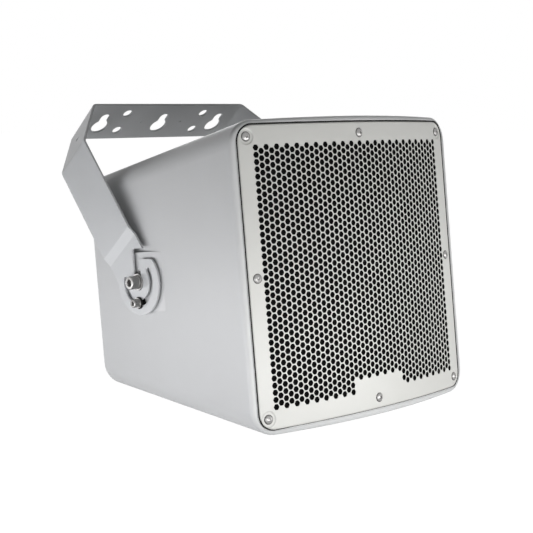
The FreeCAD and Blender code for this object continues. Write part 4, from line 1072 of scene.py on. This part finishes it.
@dataclass
class RearInput:
    """Cover plate with broken edges, and the ribbed cable gland that is screwed through it."""

    face_y: float = 361.5
    gasket_t: float = 1.0
    cover_t: float = 2.0
    cover_z: float = -66.0
    half_w: float = 60.0
    half_h: float = 42.0
    corner_r: float = 8.0
    screw_inset: float = 8.0
    screw_hole_r: float = 2.3
    gland_x: float = 30.0
    gland_hole_r: float = 6.0
    gland_hex: float = 12.0
    gland_bore: float = 4.5
    edge_break: float = 0.3

    @property
    def seat_y(self) -> float:
        """Where the cover's outer face lies."""
        return self.face_y + self.gasket_t + self.cover_t

    def screw_places(self) -> list[Pair]:
        """X and height of the six screws, from the cover's middle."""
        w, h = self.half_w - self.screw_inset, self.half_h - self.screw_inset
        return [(i * w, j * h) for i in (-1, 0, 1) for j in (-1, 1)]

    def build(self, shop: Shop) -> None:
        """Make the cover and the gland."""
        middle = self.seat_y - self.cover_t / 2

        def place(flat: np.ndarray, height: np.ndarray) -> np.ndarray:
            """Lay the plate upright: its flat coordinates are X and height, and it faces backwards."""
            return CABINET.points(np.stack([-flat[:, 0], middle + height, flat[:, 1] + self.cover_z], 1))

        holes = [circle(x, z, self.screw_hole_r, 24) for x, z in self.screw_places()]
        holes.append(circle(-self.gland_x, 0.0, self.gland_hole_r, 36))
        outline = rounded_outline(self.half_w, self.half_h, self.corner_r, 10, 12)
        skin = Skin()
        CutSheet(outline, holes, self.cover_t, self.edge_break, place).build(skin)
        shop.piece(skin, "cover_plate", "stainless", "rear_cover")
        skin = Skin()
        flats, bore = self.gland_hex, self.gland_bore
        body = [(-5.0, bore), (-5.0, 5.4), (0.0, 5.4), (0.0, flats - 0.6, 1),
                (0.5, flats, 1), (5.2, flats, 1), (5.8, flats * 1.04, 0.25), (6.0, 11.0),
                (6.4, 11.0), (6.8, 11.4, 0, 0.4), (16.5, 11.4, 0, 0.45), (17.2, 11.2, 0, 0.2),
                (18.6, 10.6), (20.0, 9.5), (21.1, 8.2), (21.8, 7.0), (22.0, 6.2),
                (21.6, 5.6), (21.2, 5.0), (20.6, bore)]
        Turned((self.gland_x, self.seat_y, self.cover_z), (0.0, 1.0, 0.0), 144).add(skin, body, ring=True)
        shop.piece(skin, "gland_body", "gland_plastic", "cable_gland")


# Bolts, screws and washers

@dataclass
class Fasteners:
    """Pivot and lock bolts with their washers, grille screws and the screws of the rear cover."""

    seat: float = CABINET.pad_x + 5.1
    lock_offset: float = 25.5

    @staticmethod
    def cap_screw(seat: float, r: float, h: float, shank_r: float, tip: float, flats: float) -> Profile:
        """Profile of a socket cap screw: shank, chamfered tip, knurled head with rounded rim and socket."""
        top = seat + h
        key = flats / 2
        return [(tip, 0.0), (tip, shank_r - 0.8), (tip + 0.8, shank_r), (seat, shank_r),
                (seat, r - 0.5), (seat + 0.3, r - 0.1), (seat + 0.7, r, 0, 0.28),
                (top - 1.5, r, 0, 0.28), (top - 1.1, r - 0.05), (top - 0.7, r - 0.12),
                (top - 0.3, r - 0.4), (top - 0.08, r - 0.8), (top, r - 1.2),
                (top, key * 1.17 + 0.5), (top - 0.5, key * 1.13, 0.35), (top - 0.8, key, 1.0),
                (top - h * 0.55, key, 1.0), (top - h * 0.62, key * 0.5, 0.3), (top - h * 0.66, 0.0)]

    @staticmethod
    def button_screw(r: float, h: float, shank_r: float, tip: float, flats: float) -> Profile:
        """Profile of a button-head screw: a dome whose height falls as an ellipse, with a hexagon socket."""
        key, rim = flats / 2, 0.35
        a = np.linspace(0.12, 0.93, 9) * math.pi / 2
        dome = [(rim + (h - rim) * math.sin(v), r * math.cos(v) * 0.985 + 0.03) for v in a]
        top = dome[-1][0]
        return [(tip, 0.0), (tip, shank_r), (0.0, shank_r), (0.0, r - 0.15),
                (rim, r), *(d for d in dome if d[1] > key * 1.2 + 0.25),
                (top - 0.05, key * 1.16 + 0.1, 0.2), (top - 0.3, key, 1.0), (top - h * 0.6, key, 1.0),
                (top - h * 0.72, 0.0)]

    @staticmethod
    def washer(low: float, high: float, inner: float, outer: float, edge: float) -> Profile:
        """Closed profile of a ring with its four edges broken."""
        near = outer - edge * 0.25
        return [(low, inner + edge), (low, outer - edge), (low + edge * 0.6, near),
                (low + edge, outer), (high - edge, outer), (high - edge * 0.6, near),
                (high, outer - edge), (high, inner + edge), (high - edge, inner),
                (low + edge, inner)]

    def _pair(self, offset: float, profile: Profile, segments: int, spin: float, **shape: float) -> Skin:
        """The same turned piece on both sides.

        Args:
            offset: how far its axis lies below the pivot axis.
            profile: its rings, at heights along X.
            segments: points of each ring.
            spin: angle of the first point.
            shape: whether it is a ring, its split and its rise, as Turned.add takes them.

        Returns:
            The skin of the pair.
        """
        skin = Skin()
        for side in (-1.0, 1.0):
            spot = Turned((0.0, CABINET.pivot_y, -offset), (side, 0.0, 0.0), segments, spin)
            spot.add(skin, profile, **shape)
        return skin

    def build(self, shop: Shop) -> None:
        """Make every set on both sides."""
        seat, pad, lock = self.seat, CABINET.pad_x, self.lock_offset
        # Piece, node, finish, axis below the pivot, (low, high, inner and outer radius, edge), split, rise
        washers = (
            ("pivot_washer_pair", "pivot_washers", "stainless", 0.0,
             (seat, seat + 1.6, 5.05, 10.5, 0.3), 0.0, 0.0),
            ("pivot_spring_pair", "pivot_spring_washers", "stainless", 0.0,
             (seat + 1.75, seat + 3.65, 5.05, 8.6, 0.3), 0.16, 0.3),
            ("rubber_washer_pair", "rubber_washers", "black_rubber", lock,
             (seat, seat + 2.4, 3.05, 7.4, 0.6), 0.0, 0.0),
            # Black ring on the pad round each lock bolt: painted shade over the insert that shows through the
            # arc slot.
            ("lock_shade_pair", "", "black_rubber", lock, (pad + 0.05, pad + 1.9, 3.05, 6.6, 0.4), 0.0, 0.0),
            ("lock_washer_pair", "lock_washers", "stainless", lock,
             (seat + 2.4, seat + 3.6, 3.05, 6.4, 0.2), 0.0, 0.0),
            ("lock_spring_pair", "lock_spring_washers", "stainless", lock,
             (seat + 3.7, seat + 4.9, 3.05, 5.2, 0.2), 0.2, 0.2),
        )
        for name, replaced, slot, offset, size, gap, rise in washers:
            skin = self._pair(offset, self.washer(*size), 72, 0.9, ring=True, gap=gap, rise=rise)
            shop.piece(skin, name, slot, *([replaced] if replaced else []))
        pivot_bolt = self.cap_screw(seat + 3.8, 8.0, 10.0, 5.0, pad - 19.0, 8.0)
        lock_bolt = self.cap_screw(seat + 5.0, 5.0, 6.0, 3.0, pad - 13.0, 5.0)
        shop.piece(self._pair(0.0, pivot_bolt, 120, 0.3), "pivot_bolt_pair", "stainless", "pivot_bolts")
        shop.piece(self._pair(lock, lock_bolt, 84, 0.3), "lock_bolt_pair", "stainless", "lock_bolts")
        self._grille_screws(shop)
        self._cover_screws(shop)

    def _grille_screws(self, shop: Shop) -> None:
        """Button heads square to the bowed front, each in a thin black ring that paints the shade round the
        head.
        """
        grille = Grille()
        heads, rings = Skin(), Skin()
        for i, place in enumerate(grille.screw_places()):
            flat = np.array([place])
            depth = grille.depth(flat)
            angle = place[0] / CABINET.bow_r
            outward = (math.sin(angle), -math.cos(angle), 0.0)
            spot = Turned(tuple(CABINET.bowed(flat, depth)[0]), outward, 48, 0.4 * i)
            spot.add(heads, self.button_screw(5.0, 2.7, 2.5, -13.0 + float(depth[0]), 3.0))
            # Thin black ring just outside each head: painted shade of the gap under it.
            spot.add(rings, self.washer(-0.05, 0.35, 5.02, 5.5, 0.1), ring=True)
        shop.piece(rings, "screw_shade_rings", "black_rubber")
        shop.piece(heads, "grille_screw_set", "stainless", "grille_screws")

    def _cover_screws(self, shop: Shop) -> None:
        """Button heads on the rear cover."""
        skin = Skin()
        rear = RearInput()
        head = self.button_screw(4.0, 2.3, 2.0, -8.0, 2.5)
        for i, (x, z) in enumerate(rear.screw_places()):
            Turned((x, rear.seat_y, rear.cover_z + z), (0.0, 1.0, 0.0), 48, 0.5 * i).add(skin, head)
        shop.piece(skin, "cover_screw_set", "stainless", "rear_cover_screws")


# Studio

@dataclass(frozen=True)
class Lamp:
    """Soft lamp that the camera doesn't see: place, aim and sides in metres, power in watts, and colour."""

    name: str
    at: Point
    aim: Point
    sides: Pair
    power: float
    colour: Point = (1.0, 1.0, 1.0)

    def build(self) -> None:
        """Hang the lamp, turned so that it shines from its place to its aim."""
        data = bpy.data.lights.new(self.name, "AREA")
        data.shape = "RECTANGLE"
        data.size, data.size_y = self.sides
        data.energy, data.color = self.power, self.colour
        obj = bpy.data.objects.new(self.name, data)
        obj.location = self.at
        obj.visible_camera = False
        obj.rotation_euler = (Vector(self.aim) - Vector(self.at)).to_track_quat("-Z", "Y").to_euler()
        bpy.context.scene.collection.objects.link(obj)


@dataclass
class Studio:
    """Camera of the photograph, soft lamps, pale floor and white surroundings."""

    eye: Point = (-1071.2, -992.67, 71.44)
    right: Point = (0.7333206, -0.6750591, -0.0808459)
    down: Point = (-0.0887384, 0.0228602, -0.9957926)
    ahead: Point = (0.674067, 0.7374094, -0.0431398)
    focal_px: float = 1237.8
    width_px: float = 533.0
    sensor_mm: float = 36.0
    clip: Pair = (0.01, 50.0)
    world_level: float = 0.07
    floor_half: float = 14.0
    floor_z: float = -0.0005
    floor_grey: float = 0.86
    floor_white: float = 1.04
    floor_share: float = 0.97
    lamps: tuple[Lamp, ...] = (
        Lamp("front_low", (0.03, -0.68, 0.065), (0.03, -0.19, 0.065), (1.0, 0.12), 3.85, (1.0, 1.0, 0.985)),
        Lamp("side_low", (-0.56, 0.10, 0.035), (-0.18, 0.10, 0.035), (1.0, 0.07), 2.1, (0.985, 0.985, 1.0)),
        Lamp("rear_soft", (1.0, 1.1, 1.0), (0.0, 0.05, 0.15), (1.0, 1.0), 6.0),
        Lamp("top_soft", (0.2, 0.3, 2.0), (0.0, 0.05, 0.2), (1.5, 1.5), 1.5),
    )

    def camera(self) -> None:
        """Place the camera by its three axes, turned into the shared frame."""
        data = bpy.data.cameras.new("camera")
        data.sensor_width = self.sensor_mm
        data.lens = self.focal_px * self.sensor_mm / self.width_px
        data.clip_start, data.clip_end = self.clip
        obj = bpy.data.objects.new("camera", data)
        axes = CABINET.directions(np.array([self.right, self.down, self.ahead]) * [[1], [-1], [-1]])
        turn = Matrix([list(axes[:, i]) for i in range(3)]).to_4x4()
        obj.matrix_world = Matrix.Translation(Vector(CABINET.points(np.array([self.eye]))[0])) @ turn
        bpy.context.scene.collection.objects.link(obj)
        bpy.context.scene.camera = obj

    @staticmethod
    def _white_to_camera(tree: Tree, plain: bpy.types.Node, white: bpy.types.Node,
                         share: float) -> Socket:
        """Mix a shader with white where the camera, gloss or glass looks straight at it.

        Args:
            tree: the node tree.
            plain: shader that the light meets.
            white: shader that the camera meets.
            share: how much of the white is mixed in.

        Returns:
            The mixed shader's socket.
        """
        path = node(tree, "LightPath", {}).outputs
        most = path["Is Camera Ray"]
        for other in ("Is Glossy Ray", "Is Transmission Ray"):
            most = node(tree, "Math", {0: most, 1: path[other]}, operation="MAXIMUM").outputs[0]
        part = node(tree, "Math", {0: most, 1: share}, operation="MULTIPLY")
        inputs = {i: source.outputs[0] for i, source in enumerate((part, plain, white))}
        return node(tree, "MixShader", inputs).outputs[0]

    def floor(self) -> None:
        """Wide pale floor that fades to white and keeps a soft shadow."""
        half = self.floor_half
        mesh = bpy.data.meshes.new("floor")
        corners = ((-1, -1), (1, -1), (1, 1), (-1, 1))
        mesh.from_pydata([(x * half, y * half, self.floor_z) for x, y in corners], [], [(0, 1, 2, 3)])
        obj = bpy.data.objects.new("floor", mesh)
        material = bpy.data.materials.new("studio_floor")
        material.use_nodes = True
        tree = material.node_tree
        tree.nodes.clear()
        plain = node(tree, "BsdfDiffuse", {"Color": (self.floor_grey,) * 3 + (1,)})
        white = node(tree, "Emission", {"Color": (1, 1, 1, 1), "Strength": self.floor_white})
        node(tree, "OutputMaterial", {0: self._white_to_camera(tree, plain, white, self.floor_share)})
        mesh.materials.append(material)
        bpy.context.scene.collection.objects.link(obj)

    def world(self) -> None:
        """White surroundings to the camera, and a plain grey light on the object."""
        world = bpy.data.worlds.new("surroundings")
        bpy.context.scene.world = world
        world.use_nodes = True
        tree = world.node_tree
        tree.nodes.clear()
        plain = node(tree, "Background", {"Color": (1, 1, 1, 1), "Strength": self.world_level})
        white = node(tree, "Background", {"Color": (1, 1, 1, 1)})
        node(tree, "OutputWorld", {0: self._white_to_camera(tree, plain, white, 1.0)})

    def build(self) -> None:
        """Set up everything round the object."""
        bpy.context.scene.view_settings.view_transform = "Standard"
        self.camera()
        self.floor()
        self.world()
        for lamp in self.lamps:
            lamp.build()


def dress_nodes(shop: Shop) -> None:
    """Give each CAD node that still shows the material of its slot.

    Args:
        shop: what makes the materials.
    """
    slots = {row["node"]: row["material_slot"] for row in frame["record"]["subparts"]}
    for name, obj in frame["nodes"].items():
        material = shop.material(FINISHES[slots[name]])
        if not obj.material_slots:
            obj.data.materials.append(material)
        for place in obj.material_slots:
            place.material = material
        log.info("%s: CAD node in %s", name, slots[name])


def main() -> None:
    """Build the studio, dress the nodes and make each sub-assembly."""
    logging.basicConfig(level=logging.INFO, format="%(name)s %(message)s")
    Studio().build()
    shop = Shop()
    dress_nodes(shop)
    for assembly in (Grille(), RimSeal(), Bracket(), Fasteners(), RearInput()):
        assembly.build(shop)


if __name__ == "__main__":
    main()
